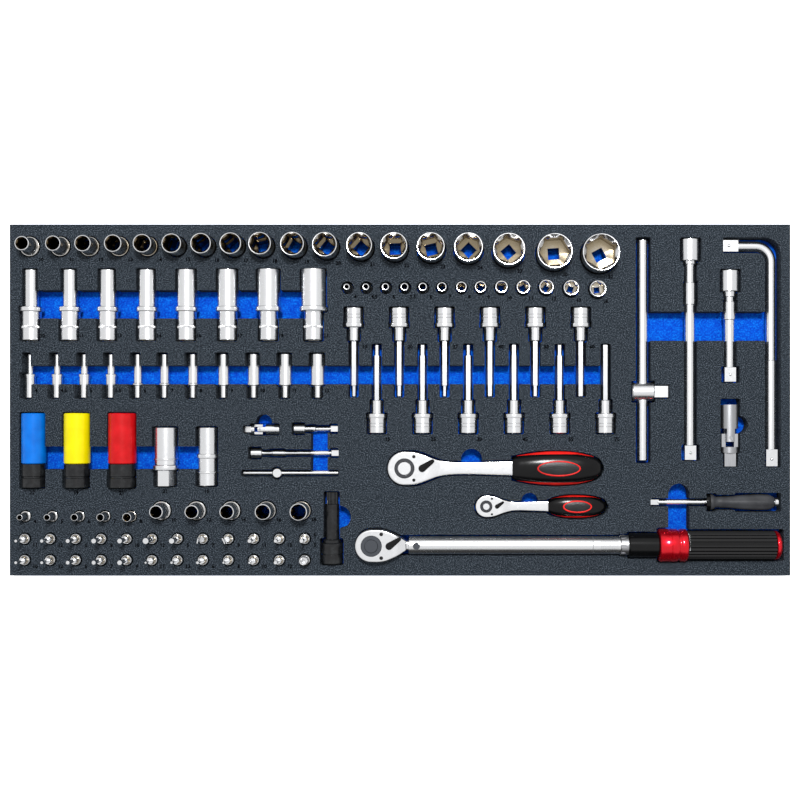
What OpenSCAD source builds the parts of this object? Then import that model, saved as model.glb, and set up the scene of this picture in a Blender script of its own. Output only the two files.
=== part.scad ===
// Socket wrench set laid out in a two-layer foam inlay.
// Origin: centre of the underside. X runs along the inlay, Y across it, Z up. Millimetres.

/* [Foam inlay] */
// Length of the inlay along X
tray_l = 882; // [870:2:1060]
// Width of the inlay along Y
tray_w = 397; // [390:1:480]
// Thickness of the blue base layer
base_t = 12; // [10:0.5:20]
// Thickness of the black top layer, which holds the pockets
top_t = 18; // [16:0.5:24]
// Gap between a tool and the wall of its pocket
gap = 1.4; // [0.5:0.1:1.5]
// Height of a stored tool over the pocket floor
lift_off = 0.3; // [0.3:0.1:0.8]
// Width of the finger slot beside the half inch deep sockets
deep_slot_w = 32; // [24:1:38]
// Width of the finger slot beside the quarter inch deep sockets
mid_slot_w = 21; // [16:1:26]
// Radius of the half-round finger notches
notch_r = 10; // [8:0.5:12]

/* [Half inch drive] */
// Width across flats of the half inch square
half_sq = 12.7; // [12:0.1:15.3]
// Wall around the square of a half inch tool
half_drive_wall = 2; // [1.5:0.1:3]
// Wall around the corners of the hexagon
half_wall = 2.35; // [2:0.05:3]
// Length of the upright sockets
half_len = 38; // [34:1:46]
// Length of the deep sockets
deep_len = 80; // [66:1:84]
// Length of the impact sockets
impact_len = 84; // [70:1:88]
// Thickness of the coloured sleeves
sleeve_t = 1.6; // [1.2:0.1:2]
// Length of the spark plug sockets
plug_len = 66; // [60:1:72]
// Length of the long bit sockets
bit_len = 100; // [90:1:112]
// Width across flats of the long bits
bit_af = 8; // [6:0.5:9.6]
// Length of the long extension bar
ext_long = 250; // [230:1:254]
// Length of the short extension bar
ext_short = 126; // [110:1:130]
// Diameter of the bars, shafts and handles
bar_d = 12; // [10:0.5:13]

/* [Quarter inch drive] */
// Width across flats of the quarter inch square
quarter_sq = 6.35; // [6:0.05:7.6]
// Wall around the square of a quarter inch tool
quarter_drive_wall = 1.5; // [1.2:0.1:2]
// Wall around the corners of the small hexagons
quarter_wall = 1.3; // [1:0.05:1.6]
// Length of the upright sockets
quarter_len = 25; // [22:1:30]
// Length of the deep sockets
quarter_deep_len = 50; // [44:1:52]
// Length of the short bit sockets
short_bit_len = 37; // [32:1:44]
// Diameter of the small bars
small_bar_d = 6; // [5:0.5:7]

/* [Ratchets and wrench] */
// Radius of the half inch ratchet head
half_head_r = 19.2; // [17:0.2:21]
// Radius of the quarter inch ratchet head
quarter_head_r = 12.5; // [11.5:0.1:14]
// Outside diameter of the wrench tube
tube_d = 20.4; // [20:0.2:24.4]
// Diameter of the wrench grip
grip_d = 33.4; // [28:0.2:34]
// Running clearance of spinning and sliding fits, on the radius
fit = 0.06; // [0.03:0.01:0.1]

/* [Hidden] */
$fn = 64;
floor_z = base_t;
face_z = base_t + top_t;
rest_z = floor_z + lift_off;
half_drive_d = half_sq * sqrt(2) + 2 * half_drive_wall;
quarter_drive_d = quarter_sq * sqrt(2) + 2 * quarter_drive_wall;
half_square_len = 15.5;
quarter_square_len = 7.5;
chamfer = 0.6;
chrome = [0.86, 0.87, 0.88];
satin = [0.66, 0.67, 0.69];
dark = [0.1, 0.1, 0.11];
red = [0.78, 0.08, 0.08];

// Places along the inlay follow its size, so a longer inlay spreads its tools.
function px(x) = x * tray_l / 882;
function py(y) = y * tray_w / 397;

half_sizes = [10, 11, 12, 13, 14, 15, 16, 17, 18, 19, 20, 21, 22, 23, 24, 27, 30, 32];
half_x = [-418.5, -384, -351, -317.5, -285, -252.5, -220, -187, -154.5, -118.5, -82.5, -44, -5.5,
    35.5, 77.5, 122.5, 173.5, 225];
half_turn = [10, 80, 25, 50, 5, 70, 33, 40, 15, 60, 50, 48, 2, 14, 45, 40, 4, 28];
quarter_sizes = [4, 4.5, 5, 5.5, 6, 7, 8, 9, 10, 11, 12, 13, 14];
quarter_x = [-59.5, -38, -16, 5.5, 26, 47.5, 69.5, 91, 114.5, 139, 165, 193, 223];
deep_sizes = [10, 11, 13, 14, 16, 17, 19, 21];
deep_x = [-418.5, -374.5, -331.5, -287, -242, -195.5, -149, -98];
quarter_deep_sizes = [4, 4.5, 5, 5.5, 6, 7, 8, 9, 10, 11, 12];
quarter_deep_x = [-422.5, -391.5, -360.5, -330, -299.5, -269, -236.5, -201.5, -167, -131, -94];
bit_up_x = [for (i = [0:5]) -52.5 + 51.4 * i];
bit_down_x = [for (i = [0:5]) -26.5 + 51.8 * i];
bit_tips = [5, 6, 4.5, 7, 5.5, 8];
impact_sizes = [17, 19, 21];
impact_x = [-415.5, -366, -314.5];
plug_x = [-265.5, -218.5];
quarter_star_x = [-423.5, -393, -362.5, -333.5, -304];
quarter_star_d = [6.8, 7.4, 8.2, 8.8, 10.2];
half_star_x = [-269.5, -230, -191, -151, -111.5];
half_star_d = [15.4, 15.8, 16.4, 18, 19.6];
short_bit_x = [for (i = [0:11]) -423.8 + 28.75 * i];
short_bit_y = [-156.8, -180.8];
short_bit_tips = [
    [3, 3.5, 4.2, 5, 5, 6.3, 5.6, 3.6, 4.8, 4, 3.4, 4],
    [3, 3, 4, 4.2, 5, 2.2, 2.6, 3, 2.2, 2.4, 3.6, 0]
];

// Rows of the lay-out
half_y = 173.5;
quarter_y = 127;
deep_y = 67.5;
quarter_deep_y = 2.5;
bit_up_y = 104.5;
bit_down_y = -37.5;
impact_y = -99;
plug_y = -97;
quarter_star_y = -131.5;
half_star_y = -125;

function hex_d(size) = size / cos(30);
function half_mouth(size) = hex_d(size) + 2 * half_wall;
function quarter_mouth(size) = hex_d(size) + 2 * quarter_wall;
function half_body(size) = max(half_mouth(size), half_drive_d);
function quarter_body(size) = max(quarter_mouth(size), quarter_drive_d);
function half_row(size) = half_y - 0.62 * max(0, half_body(size) - 26);

// A turned piece is a list of [length, diameter] steps from its lower end up.
function at(steps, i) = i == 0 ? 0 : at(steps, i - 1) + steps[i - 1][0];
function widest(steps) = max([for (s = steps) s[1]]);
function side(steps, grow, cut) = [
    for (i = [0:len(steps) - 1])
        let (
            w = steps[i][1] / 2 + grow,
            before = i == 0 ? 0 : steps[i - 1][1] / 2 + grow,
            after = i == len(steps) - 1 ? 0 : steps[i + 1][1] / 2 + grow,
            low = at(steps, i) + (before > w ? grow : -grow),
            high = at(steps, i + 1) + (after > w ? -grow : grow),
            lower = before < w - cut,
            upper = after < w - cut
        )
        each [
            if (lower) [w - cut, low],
            [w, lower ? low + cut : low],
            [w, upper ? high - cut : high],
            if (upper) [w - cut, high]
        ]
];
function mirrored(points) = [for (i = [len(points) - 1:-1:0]) [-points[i][0], points[i][1]]];

module turned(steps, cut = chamfer) {
    total = at(steps, len(steps));
    rotate_extrude() polygon(concat([[0, 0]], side(steps, 0, cut), [[0, total]]));
}

// Pocket of a turned piece, with its lower end at the origin and its axis along Y
module pocket(steps, grow = gap, cut = 1.4) {
    right = side(steps, grow, cut);
    polygon(concat(right, mirrored(right)));
}

// Lay a piece built along Z down, pointing to +Y, -Y, +X or -X
module to_back(x, y, z) { translate([x, y, z]) rotate([-90, 0, 0]) children(); }
module to_front(x, y, z) { translate([x, y, z]) rotate([90, 0, 0]) children(); }
module to_right(x, y, z) { translate([x, y, z]) rotate([0, 90, 0]) children(); }
module to_left(x, y, z) { translate([x, y, z]) rotate([0, -90, 0]) children(); }

module square_bar(width, length) {
    linear_extrude(length) square(width, center = true);
}

module hex_bar(across, length) {
    cylinder(h = length, d = hex_d(across), $fn = 6);
}

// Socket bores: a square from below, the mouth from above, and a round bore between them
module bores(total, sq, sq_len, size, mouth_len) {
    wide = size > sq + 2;
    middle = wide ? sq * sqrt(2) - 1 : min(size, sq) * 0.8;
    translate([0, 0, -1]) square_bar(sq + 0.1, 1 + sq_len + (wide ? 1 : 0));
    translate([0, 0, sq_len - 0.5]) cylinder(h = total - mouth_len - sq_len + 1, d = middle);
    translate([0, 0, total - mouth_len]) hex_bar(size, mouth_len + 1);
    translate([0, 0, total - 1]) cylinder(h = 1.01, d1 = hex_d(size) - 1.2, d2 = hex_d(size) + 0.8);
}

module socket(steps, sq, sq_len, size, mouth_len) {
    difference() {
        turned(steps);
        bores(at(steps, len(steps)), sq, sq_len, size, mouth_len);
    }
}

// ---- Upright sockets ----
function upright(total, drive, mouth, drive_len) =
    mouth < drive - 1 ? [[drive_len, drive], [total - drive_len, mouth]] : [[total, max(drive, mouth)]];

module half_sockets() {
    color(chrome) for (i = [0:len(half_sizes) - 1]) {
        s = half_sizes[i];
        translate([px(half_x[i]), py(half_row(s)), rest_z]) rotate([0, 0, half_turn[i]])
            socket(upright(half_len, half_drive_d, half_mouth(s), half_len / 2), half_sq, half_square_len, s,
                half_len - half_square_len - 2);
    }
}

module quarter_sockets() {
    color(chrome) for (i = [0:len(quarter_sizes) - 1]) {
        s = quarter_sizes[i];
        translate([px(quarter_x[i]), py(quarter_y - max(0, s - 12)), rest_z]) rotate([0, 0, 23 * i])
            socket(upright(quarter_len, quarter_drive_d, quarter_mouth(s), quarter_len / 2),
                quarter_sq, quarter_square_len, s, quarter_len - quarter_square_len - 2);
    }
}

// ---- Deep sockets ----
function deep_steps(size) = [
    [deep_len - 47.5, half_drive_d - 1],
    [5.5, half_body(size) + 1.5],
    [42, half_mouth(size) - 1]
];
function quarter_deep_steps(size) =
    size < 6
        ? [[quarter_deep_len - 25.6, quarter_drive_d], [3, quarter_drive_d + 1.2], [22.6, quarter_mouth(size)]]
        : [[quarter_deep_len - 36, quarter_drive_d - 1], [3, quarter_body(size) + 1.2],
            [33, quarter_mouth(size)]];
function lying_z(steps) = rest_z + widest(steps) / 2;

module half_deep_sockets() {
    color(chrome) for (i = [0:len(deep_sizes) - 1]) {
        steps = deep_steps(deep_sizes[i]);
        to_back(px(deep_x[i]), py(deep_y), lying_z(steps))
            socket(steps, half_sq, half_square_len, deep_sizes[i], 43);
    }
}

module quarter_deep_sockets() {
    color(chrome) for (i = [0:len(quarter_deep_sizes) - 1]) {
        steps = quarter_deep_steps(quarter_deep_sizes[i]);
        to_back(px(quarter_deep_x[i]), py(quarter_deep_y), lying_z(steps))
            socket(steps, quarter_sq, quarter_square_len, quarter_deep_sizes[i], steps[2][0] + 1);
    }
}

// ---- Long bit sockets: a turned holder with the bit pressed into its neck ----
holder_len = 37.5;
bit_grip = 12;
tip_len = 12;
holder_steps = [[17.2, half_drive_d - 1.5], [5, half_drive_d - 0.3], [15.3, bit_af + 5.5]];
bit_steps = concat(holder_steps, [[bit_len - holder_len, bit_af + 1]]);
bit_z = lying_z(holder_steps);

module long_holder() {
    difference() {
        turned(holder_steps);
        translate([0, 0, -1]) square_bar(half_sq + 0.1, half_square_len + 1);
        translate([0, 0, holder_len - bit_grip]) hex_bar(bit_af, bit_grip + 1);
    }
}

module long_bit(tip) {
    translate([0, 0, holder_len - bit_grip]) hex_bar(bit_af, bit_len - holder_len + bit_grip - tip_len);
    translate([0, 0, bit_len - tip_len]) hex_bar(tip, tip_len);
}

module at_long_bits() {
    for (i = [0:5]) {
        $tip = bit_tips[i];
        to_front(px(bit_up_x[i]), py(bit_up_y), bit_z) children();
        to_back(px(bit_down_x[i]), py(bit_down_y), bit_z) children();
    }
}

module bit_socket_holders() {
    color(chrome) at_long_bits() long_holder();
}

module bit_socket_blades() {
    color(satin) at_long_bits() long_bit($tip);
}

// ---- Impact sockets with coloured sleeves ----
function impact_d(size) = size + 9.5;
function impact_steps(size) = [
    [11.2, impact_d(size)],
    [1.4, impact_d(size) - 2],
    [14.2, impact_d(size)],
    [impact_len - 26.8, impact_d(size) - 2 * sleeve_t]
];
function impact_z(size) = rest_z + impact_d(size) / 2;

module impact_sockets() {
    color(dark) for (i = [0:2]) {
        s = impact_sizes[i];
        to_back(px(impact_x[i]), py(impact_y), impact_z(s))
            socket(impact_steps(s), half_sq, half_square_len, s, impact_len - 30);
    }
}

// A sleeve turns freely on its socket
module sleeve(i) {
    d = impact_d(impact_sizes[i]);
    long = impact_len - 27;
    to_back(px(impact_x[i]), py(impact_y) + 27, impact_z(impact_sizes[i])) difference() {
        turned([[long, d]], 1);
        translate([0, 0, -1]) cylinder(h = long + 2, d = d - 2 * sleeve_t + 2 * fit);
    }
}

module sleeve_blue() { color([0.05, 0.42, 0.85]) sleeve(0); }
module sleeve_yellow() { color([0.95, 0.85, 0.05]) sleeve(1); }
module sleeve_red() { color(red) sleeve(2); }

// ---- Spark plug sockets ----
plug_hex = 21;
plug_steps = [
    [[17.5, plug_hex], [6.3, 27], [plug_len - 23.8, 25.6]],
    [[31, 21.6], [5, 23], [plug_len - 36, 21.6]]
];
plug_sizes = [20.8, 16];

module plug_sockets() {
    color(chrome) for (i = [0:1]) {
        to_back(px(plug_x[i]), py(plug_y), lying_z(plug_steps[i])) difference() {
            union() {
                turned(plug_steps[i]);
                if (i == 0) hex_bar(plug_hex, plug_steps[0][0][0]);
            }
            translate([0, 0, -1]) square_bar(half_sq + 0.1, half_square_len + 1);
            cylinder(h = plug_len, d = plug_sizes[i] * 0.72);
            translate([0, 0, half_square_len + 3]) hex_bar(plug_sizes[i], plug_len);
        }
    }
}

// ---- Star (E-profile) sockets ----
function star(outer, inner, lobes = 6) = [
    for (i = [0:2 * lobes - 1])
        let (a = 180 * i / lobes, r = i % 2 == 0 ? outer : inner) [r * cos(a), r * sin(a)]
];
quarter_star_deep = 11;
half_star_len = half_len;

module star_socket(total, drive, drive_len, mouth, sq, sq_len, bore) {
    difference() {
        turned([[drive_len, drive], [total - drive_len, mouth]], 0.5);
        translate([0, 0, -1]) square_bar(sq + 0.1, sq_len + 1);
        cylinder(h = total, d = bore * 0.7);
        translate([0, 0, sq_len + 2]) linear_extrude(total) polygon(star(bore / 2, bore * 0.39));
    }
}

module quarter_star_sockets() {
    color(chrome) for (i = [0:4])
        translate([px(quarter_star_x[i]), py(quarter_star_y), face_z - quarter_star_deep + lift_off])
            star_socket(quarter_len, quarter_drive_d - 0.4, quarter_star_deep, quarter_star_d[i],
                quarter_sq, quarter_square_len, quarter_star_d[i] - 2.4);
}

module half_star_sockets() {
    color(chrome) for (i = [0:4])
        translate([px(half_star_x[i]), py(half_star_y), rest_z]) rotate([0, 0, 20 * i])
            star_socket(half_star_len, half_drive_d - 1, half_star_len / 2, half_star_d[i],
                half_sq, half_square_len, half_star_d[i] - 4);
}

// ---- Short bit sockets standing in two rows, and the square-to-hexagon adapter ----
short_deep = 14.5;
short_holder_len = 16;
short_grip = 8;
short_z = face_z - short_deep + lift_off;
short_drive_d = quarter_drive_d - 0.2;

module at_short_bits() {
    for (row = [0:1], i = [0:11]) if (short_bit_tips[row][i] > 0) {
        $tip = short_bit_tips[row][i];
        $flat = row == 0 && (i == 7 || i == 8);
        translate([px(short_bit_x[i]), py(short_bit_y[row]), short_z]) rotate([0, 0, 37 * i]) children();
    }
}

module short_bit_holders() {
    color(chrome) at_short_bits() difference() {
        turned([[short_holder_len, short_drive_d]], 0.8);
        translate([0, 0, -1]) square_bar(quarter_sq + 0.1, quarter_square_len + 0.5);
        translate([0, 0, short_holder_len - short_grip]) hex_bar(quarter_sq, short_grip + 1);
    }
}

module short_bit_blades() {
    color(satin) at_short_bits() {
        translate([0, 0, short_holder_len - short_grip]) hex_bar(quarter_sq, short_grip + 6);
        translate([0, 0, short_holder_len + 6])
            if ($flat) linear_extrude(short_bit_len - short_holder_len - 6) square([$tip + 2, 1.2], center = true);
            else cylinder(h = short_bit_len - short_holder_len - 6, d = $tip);
    }
}

module bit_adapter() {
    color(chrome) translate([px(short_bit_x[11]), py(short_bit_y[1]), short_z]) difference() {
        turned([[short_deep + 3, short_drive_d], [8, 10]], 0.8);
        translate([0, 0, -1]) square_bar(quarter_sq + 0.1, quarter_square_len + 1);
        translate([0, 0, short_deep]) hex_bar(quarter_sq, 12);
    }
}

// ---- Impact spline bit ----
spline_x = -77.2;
spline_y = -185.3;
spline_steps = [[10.5, 24], [1.4, 22], [12, 24], [4, 20], [40, 15.6]];
spline_tip = 13;

module spline_bit() {
    color(dark) to_back(px(spline_x), py(spline_y), lying_z(spline_steps)) {
        difference() {
            turned(spline_steps, 1);
            translate([0, 0, -1]) square_bar(half_sq + 0.1, half_square_len + 1);
        }
        translate([0, 0, at(spline_steps, 5) - 1]) linear_extrude(spline_tip + 1) polygon(star(6.8, 5.7, 12));
    }
}

// ---- Reversible heads, shared by the two ratchets and the wrench ----
// [head radius, head thickness, ring radius, button radius, lever x, lever radius, lever reach,
//  screw x, screw y, square width, square length, screw radius]
half_kit = [half_head_r, 15, 10.8, 7.5, 20, 4.1, 14.2, 10.6, 13.2, half_sq, 14.5, 1.9];
quarter_kit = [quarter_head_r, 11, 6.4, 4, 12.2, 2.4, 8.2, 6.4, 8.8, quarter_sq, 8, 1.2];
wrench_kit = [18.4, 22, 11.3, 7.5, 20.1, 4, 13.8, 11.2, 13.3, half_sq, 14, 2];
lever_turn = 35;

module head_bores(k) {
    cylinder(h = 2 * k[1], r = k[2] + fit, center = true);
    translate([k[4], 0, k[1] / 2 - 5]) cylinder(h = 6, r = k[5] * 0.6 + fit);
    for (s = [-1, 1]) translate([k[7], s * k[8], k[1] / 2 - 3]) cylinder(h = 4, r = k[11]);
}

module head_drive(k) {
    color(satin) difference() {
        union() {
            translate([0, 0, -k[1] / 2 - 0.6]) cylinder(h = k[1] + 1, r = k[2]);
            translate([0, 0, -k[1] / 2 - 0.6 - k[10]]) square_bar(k[9], k[10] + 1);
            translate([0, k[9] / 2 - k[9] * 0.1, -k[1] / 2 - 0.6 - k[10] * 0.6]) sphere(r = k[9] * 0.18);
        }
        translate([0, 0, k[1] / 2 - 5]) cylinder(h = 8, r = k[3] + fit);
    }
}

module head_button(k) {
    translate([0, 0, k[1] / 2 - 2.6]) turned([[4.4, 2 * k[3]]], 0.5);
}

module head_lever(k) {
    color(dark) translate([k[4], 0, 0]) rotate([0, 0, lever_turn]) {
        translate([0, 0, k[1] / 2 - 4.6]) cylinder(h = 5.4, r = k[5] * 0.6);
        translate([0, 0, k[1] / 2 + 0.4]) linear_extrude(k[5] * 0.6) {
            circle(r = k[5]);
            polygon([[0, -k[5]], [k[6], -k[5] * 0.55], [k[6], k[5] * 0.55], [0, k[5]]]);
            translate([k[6], 0]) circle(r = k[5] * 0.55);
        }
    }
}

module head_screws(k) {
    color(satin) for (s = [-1, 1]) translate([k[7], s * k[8], k[1] / 2 - 3]) difference() {
        cylinder(h = 3, r = k[11]);
        translate([0, 0, 2]) hex_bar(k[11] * 0.9, 2);
    }
}

function both(points) = concat(points, [for (i = [len(points) - 1:-1:0]) [points[i][0], -points[i][1]]]);

// ---- Ratchets ----
// [head points, shank points, shank thickness, grip points, grip thickness, ring centre, ring half length,
//  ring half width, side pad cut, plane height, x, y]
half_handle = [
    [[0, 19.2], [12, 19.2], [22, 16.6], [34, 11.4], [40, 9.2]],
    [[30, 9.2], [40, 9.2], [50, 7.4], [75, 6.9], [100, 7.8], [140, 8.7]], 10,
    [[121.8, 13], [130, 15], [142, 17.2], [156, 18.6], [170, 19], [184, 18.6], [196, 17.3], [207, 15.2],
        [214.5, 12.8], [219.5, 10], [222.6, 6.8], [223.8, 3.6]], 27,
    174, 24, 8.1, 13.8
];
quarter_handle = [
    [[0, 12.5], [7, 12.3], [14, 9.8], [21, 7.2], [27, 5.8]],
    [[20, 6.2], [27, 5.6], [35, 5], [52, 5.5], [80, 6.5]], 8,
    [[70.3, 7.5], [75, 9.8], [84, 11.8], [94, 12.8], [102, 13], [112, 12.6], [122, 11.3], [129, 9.4],
        [133.4, 7.2], [135.8, 4.8], [136.8, 2.4]], 19,
    103, 16, 6.6, 9.6
];
half_at = [5.2, -77.2];
quarter_at = [97.5, -120.6];
half_plane = rest_z + half_handle[4] / 2;
quarter_plane = rest_z + quarter_handle[4] / 2;

module at_half() { translate([px(half_at[0]), py(half_at[1]), half_plane]) children(); }
module at_quarter() { translate([px(quarter_at[0]), py(quarter_at[1]), quarter_plane]) children(); }

module flat_plate(points, thick) {
    linear_extrude(thick, center = true) polygon(both(points));
}

module ratchet_body(k, h) {
    color(chrome) difference() {
        union() {
            linear_extrude(k[1], center = true) {
                circle(r = k[0]);
                polygon(both(h[0]));
            }
            flat_plate(h[1], h[2]);
        }
        head_bores(k);
    }
}

module grip_blank(h) {
    last = h[3][len(h[3]) - 1][0];
    first = h[3][0][0];
    t = h[4] / 2;
    intersection() {
        flat_plate(h[3], h[4]);
        rotate([90, 0, 0]) linear_extrude(100, center = true)
            polygon([[first, -t * 0.7], [first + t, -t * 0.95], [first + 3 * t, -t], [last - 2 * t, -t],
                [last - t / 2, -t * 0.8], [last, -t * 0.4], [last, t * 0.4], [last - t / 2, t * 0.8],
                [last - 2 * t, t], [first + 3 * t, t], [first + t, t * 0.95], [first, t * 0.7]]);
    }
}

module side_pads(h, grow = 0) {
    first = h[3][0][0];
    last = h[3][len(h[3]) - 1][0];
    for (s = [-1, 1]) translate([(first + last) / 2, s * (h[8] + 20), 0])
        cube([(last - first) * 0.84 + grow, 40, h[4] * 0.42 + grow], center = true);
}

function oval(a, b) = [for (i = [0:9:351]) [a * cos(i), b * sin(i)]];

module oval_ring(h, low, high) {
    for (s = [-1, 1]) mirror([0, 0, s < 0 ? 1 : 0]) translate([h[5], 0, low]) linear_extrude(high - low)
        difference() {
            polygon(oval(h[6], h[7]));
            polygon(oval(h[6] - 3, h[7] - 1.8));
        }
}

module ratchet_grip(h) {
    color(dark) difference() {
        grip_blank(h);
        flat_plate(h[1], h[2]);
        side_pads(h);
        oval_ring(h, h[4] / 2 - 1.2, h[4] / 2 + 1);
    }
}

module ratchet_inlays(h) {
    color(red) {
        intersection() {
            grip_blank(h);
            side_pads(h);
        }
        intersection() {
            grip_blank(h);
            oval_ring(h, h[4] / 2 - 1.2, h[4] / 2 + 1);
        }
    }
}

module half_ratchet_body() { at_half() ratchet_body(half_kit, half_handle); }
module half_ratchet_drive() { at_half() head_drive(half_kit); }
module half_ratchet_button() { color(chrome) at_half() head_button(half_kit); }
module half_ratchet_lever() { at_half() head_lever(half_kit); }
module half_ratchet_screws() { at_half() head_screws(half_kit); }
module half_ratchet_grip() { at_half() ratchet_grip(half_handle); }
module half_ratchet_inlays() { at_half() ratchet_inlays(half_handle); }
module quarter_ratchet_body() { at_quarter() ratchet_body(quarter_kit, quarter_handle); }
module quarter_ratchet_drive() { at_quarter() head_drive(quarter_kit); }
module quarter_ratchet_button() { color(chrome) at_quarter() head_button(quarter_kit); }
module quarter_ratchet_lever() { at_quarter() head_lever(quarter_kit); }
module quarter_ratchet_screws() { at_quarter() head_screws(quarter_kit); }
module quarter_ratchet_grip() { at_quarter() ratchet_grip(quarter_handle); }
module quarter_ratchet_inlays() { at_quarter() ratchet_inlays(quarter_handle); }

// ---- Torque wrench ----
wrench_at = [-31.4, -163.9];
ring_d = 36.8;
wrench_plane = rest_z + ring_d / 2;
core_d = tube_d - 3.4;
tube_x = 41.6;
scale_x = 248.7;
index_x = 280.2;
sleeve_x = 288.9;
ring_x = 322.9;
grip_x = 354.4;
cap_x = 453.9;
cap_end = 460.4;
wrench_head = [[0, 18.4], [10, 18.4], [22, 15], [34, 8.8], [38.8, 5]];
pin_x = 50.5;

module at_wrench() { translate([px(wrench_at[0]), py(wrench_at[1]), wrench_plane]) children(); }
module along(x) { translate([x, 0, 0]) rotate([0, 90, 0]) children(); }

module torque_head() {
    color(chrome) at_wrench() difference() {
        union() {
            linear_extrude(wrench_kit[1], center = true) {
                circle(r = wrench_kit[0]);
                polygon(both(wrench_head));
            }
            translate([48, 0, 0]) cube([36, 10, 10], center = true);
        }
        head_bores(wrench_kit);
        translate([pin_x, 0, 0]) cylinder(h = 40, r = 4, center = true);
    }
}
module torque_drive() { at_wrench() head_drive(wrench_kit); }
module torque_button() { color(dark) at_wrench() head_button(wrench_kit); }
module torque_lever() { at_wrench() head_lever(wrench_kit); }
module torque_fasteners() {
    at_wrench() head_screws(wrench_kit);
    color(satin) at_wrench() translate([pin_x, 0, 0]) cylinder(h = tube_d + 0.6, r = 4, center = true);
}

module torque_tube() {
    color(chrome) at_wrench() difference() {
        along(tube_x) turned([[scale_x - tube_x, tube_d], [440 - scale_x, core_d]]);
        along(tube_x - 1) cylinder(h = 500, d = 2 * sqrt(50) + 0.3);
        translate([pin_x, 0, 0]) cylinder(h = 40, r = 4, center = true);
    }
}

module torque_scale() {
    length = index_x - 0.6 - scale_x;
    color(satin) at_wrench() along(scale_x) difference() {
        turned([[9, tube_d], for (i = [0:9]) each [[0.6, tube_d - 0.5], [1.4, tube_d]], [length - 29, tube_d]], 0.2);
        translate([0, 0, -1]) cylinder(h = length + 2, d = core_d);
    }
}

module collar(from, to, d, cut) {
    at_wrench() along(from) difference() {
        turned([[to - from, d]], cut);
        translate([0, 0, -1]) cylinder(h = to - from + 2, d = core_d + 2 * fit);
    }
}

module torque_index_ring() {
    color(satin) difference() {
        collar(index_x, sleeve_x, tube_d + 2.4, 0.4);
        at_wrench() for (a = [0:45:315]) rotate([a, 0, 0]) translate([index_x + 2, 0, tube_d / 2 + 1.6])
            cube([6, 3, 3], center = true);
    }
}
module torque_sleeve() { color(dark) collar(sleeve_x, ring_x, 27.6, 1.2); }
module torque_ring() {
    color(red) difference() {
        collar(ring_x, grip_x, ring_d, 1.8);
        at_wrench() along(ring_x + 10.5) difference() {
            cylinder(h = 1, d = ring_d + 2);
            translate([0, 0, -1]) cylinder(h = 3, d = ring_d - 1.4);
        }
    }
}
module torque_grip() {
    color(dark) difference() {
        collar(grip_x, cap_x - 0.5, grip_d, 0.8);
        at_wrench() for (a = [0:15:345]) rotate([a, 0, 0]) translate([grip_x + 3, 0, grip_d / 2 + 0.5])
            rotate([0, 90, 0]) cylinder(h = cap_x - grip_x - 7, r = 1.3);
    }
}
module torque_cap() {
    color(red) at_wrench() {
        along(cap_x) rotate_extrude()
            polygon([[0, 0], [grip_d / 2 - 0.6, 0], [grip_d / 2 - 0.6, 2], [grip_d / 2 - 3, cap_end - cap_x],
                [0, cap_end - cap_x]]);
        along(442) cylinder(h = cap_x - 442 + 0.1, d = core_d - 1);
    }
}

// ---- Spinner handle ----
spinner_at = [284.2, -115.8];
spinner_profile = [[0, 7.4], [3, 7.2], [14, 6.8], [24, 7.4], [38, 8.8], [52, 9.6], [62, 9.6], [70, 8.4], [74, 5.6]];
spinner_z = rest_z + 9.9;
spinner_shaft_d = 6.6;
grip_from = 66.4;

module at_spinner() { to_right(px(spinner_at[0]), py(spinner_at[1]), spinner_z) children(); }

module spinner_shaft() {
    color(chrome) at_spinner() difference() {
        union() {
            square_bar(quarter_sq - 0.5, 9);
            translate([0, 0, 8]) turned([[55, spinner_shaft_d], [grip_from - 63, 18.6],
                [74.4, spinner_shaft_d], [4.2, 10]], 0.4);
        }
        translate([0, 0, grip_from + 74]) square_bar(5, 10);
    }
}

module spinner_grip() {
    color([0.2, 0.2, 0.21]) at_spinner() translate([0, 0, grip_from]) difference() {
        rotate_extrude() polygon(concat([[0, 0]], [for (p = spinner_profile) [p[1], p[0]]], [[0, 74]]));
        translate([0, 0, -1]) cylinder(h = 100, d = spinner_shaft_d);
    }
}

// ---- Half inch bars ----
t_at = [275, -69];
t_len = 251;
t_head_y = 9.5;
t_head_len = 25;
t_head_d = half_drive_d - 0.6;
bar_z = rest_z + t_head_d / 2;

module half_t_bar() {
    color(chrome) to_back(px(t_at[0]), py(t_at[1]), bar_z) turned([[t_len, bar_d]], 1);
}

module half_t_head() {
    color(chrome) translate([px(t_at[0]), py(t_head_y), bar_z]) difference() {
        union() {
            translate([-t_head_len / 2, 0, 0]) rotate([0, 90, 0]) turned([[t_head_len, t_head_d]], 1.2);
            translate([t_head_len / 2 - 1, 0, 0]) rotate([0, 90, 0]) square_bar(half_sq, 16.5);
        }
        rotate([90, 0, 0]) cylinder(h = 60, d = bar_d + 2 * fit, center = true);
    }
}

ext_x = 328.5;
ext_y = 182.4;
short_x = 373.5;
short_y = 146.9;
long_ext_steps = [[24.8, half_drive_d - 0.6], [4, bar_d + 2.4], [20.5, bar_d], [25, bar_d + 2.2],
    [ext_long - 90.3, bar_d], [16, half_sq]];
short_ext_steps = [[24, half_drive_d - 0.6], [6, bar_d + 2.4], [5, bar_d], [21, bar_d + 2.2],
    [ext_short - 72, bar_d], [16, half_sq]];

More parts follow.
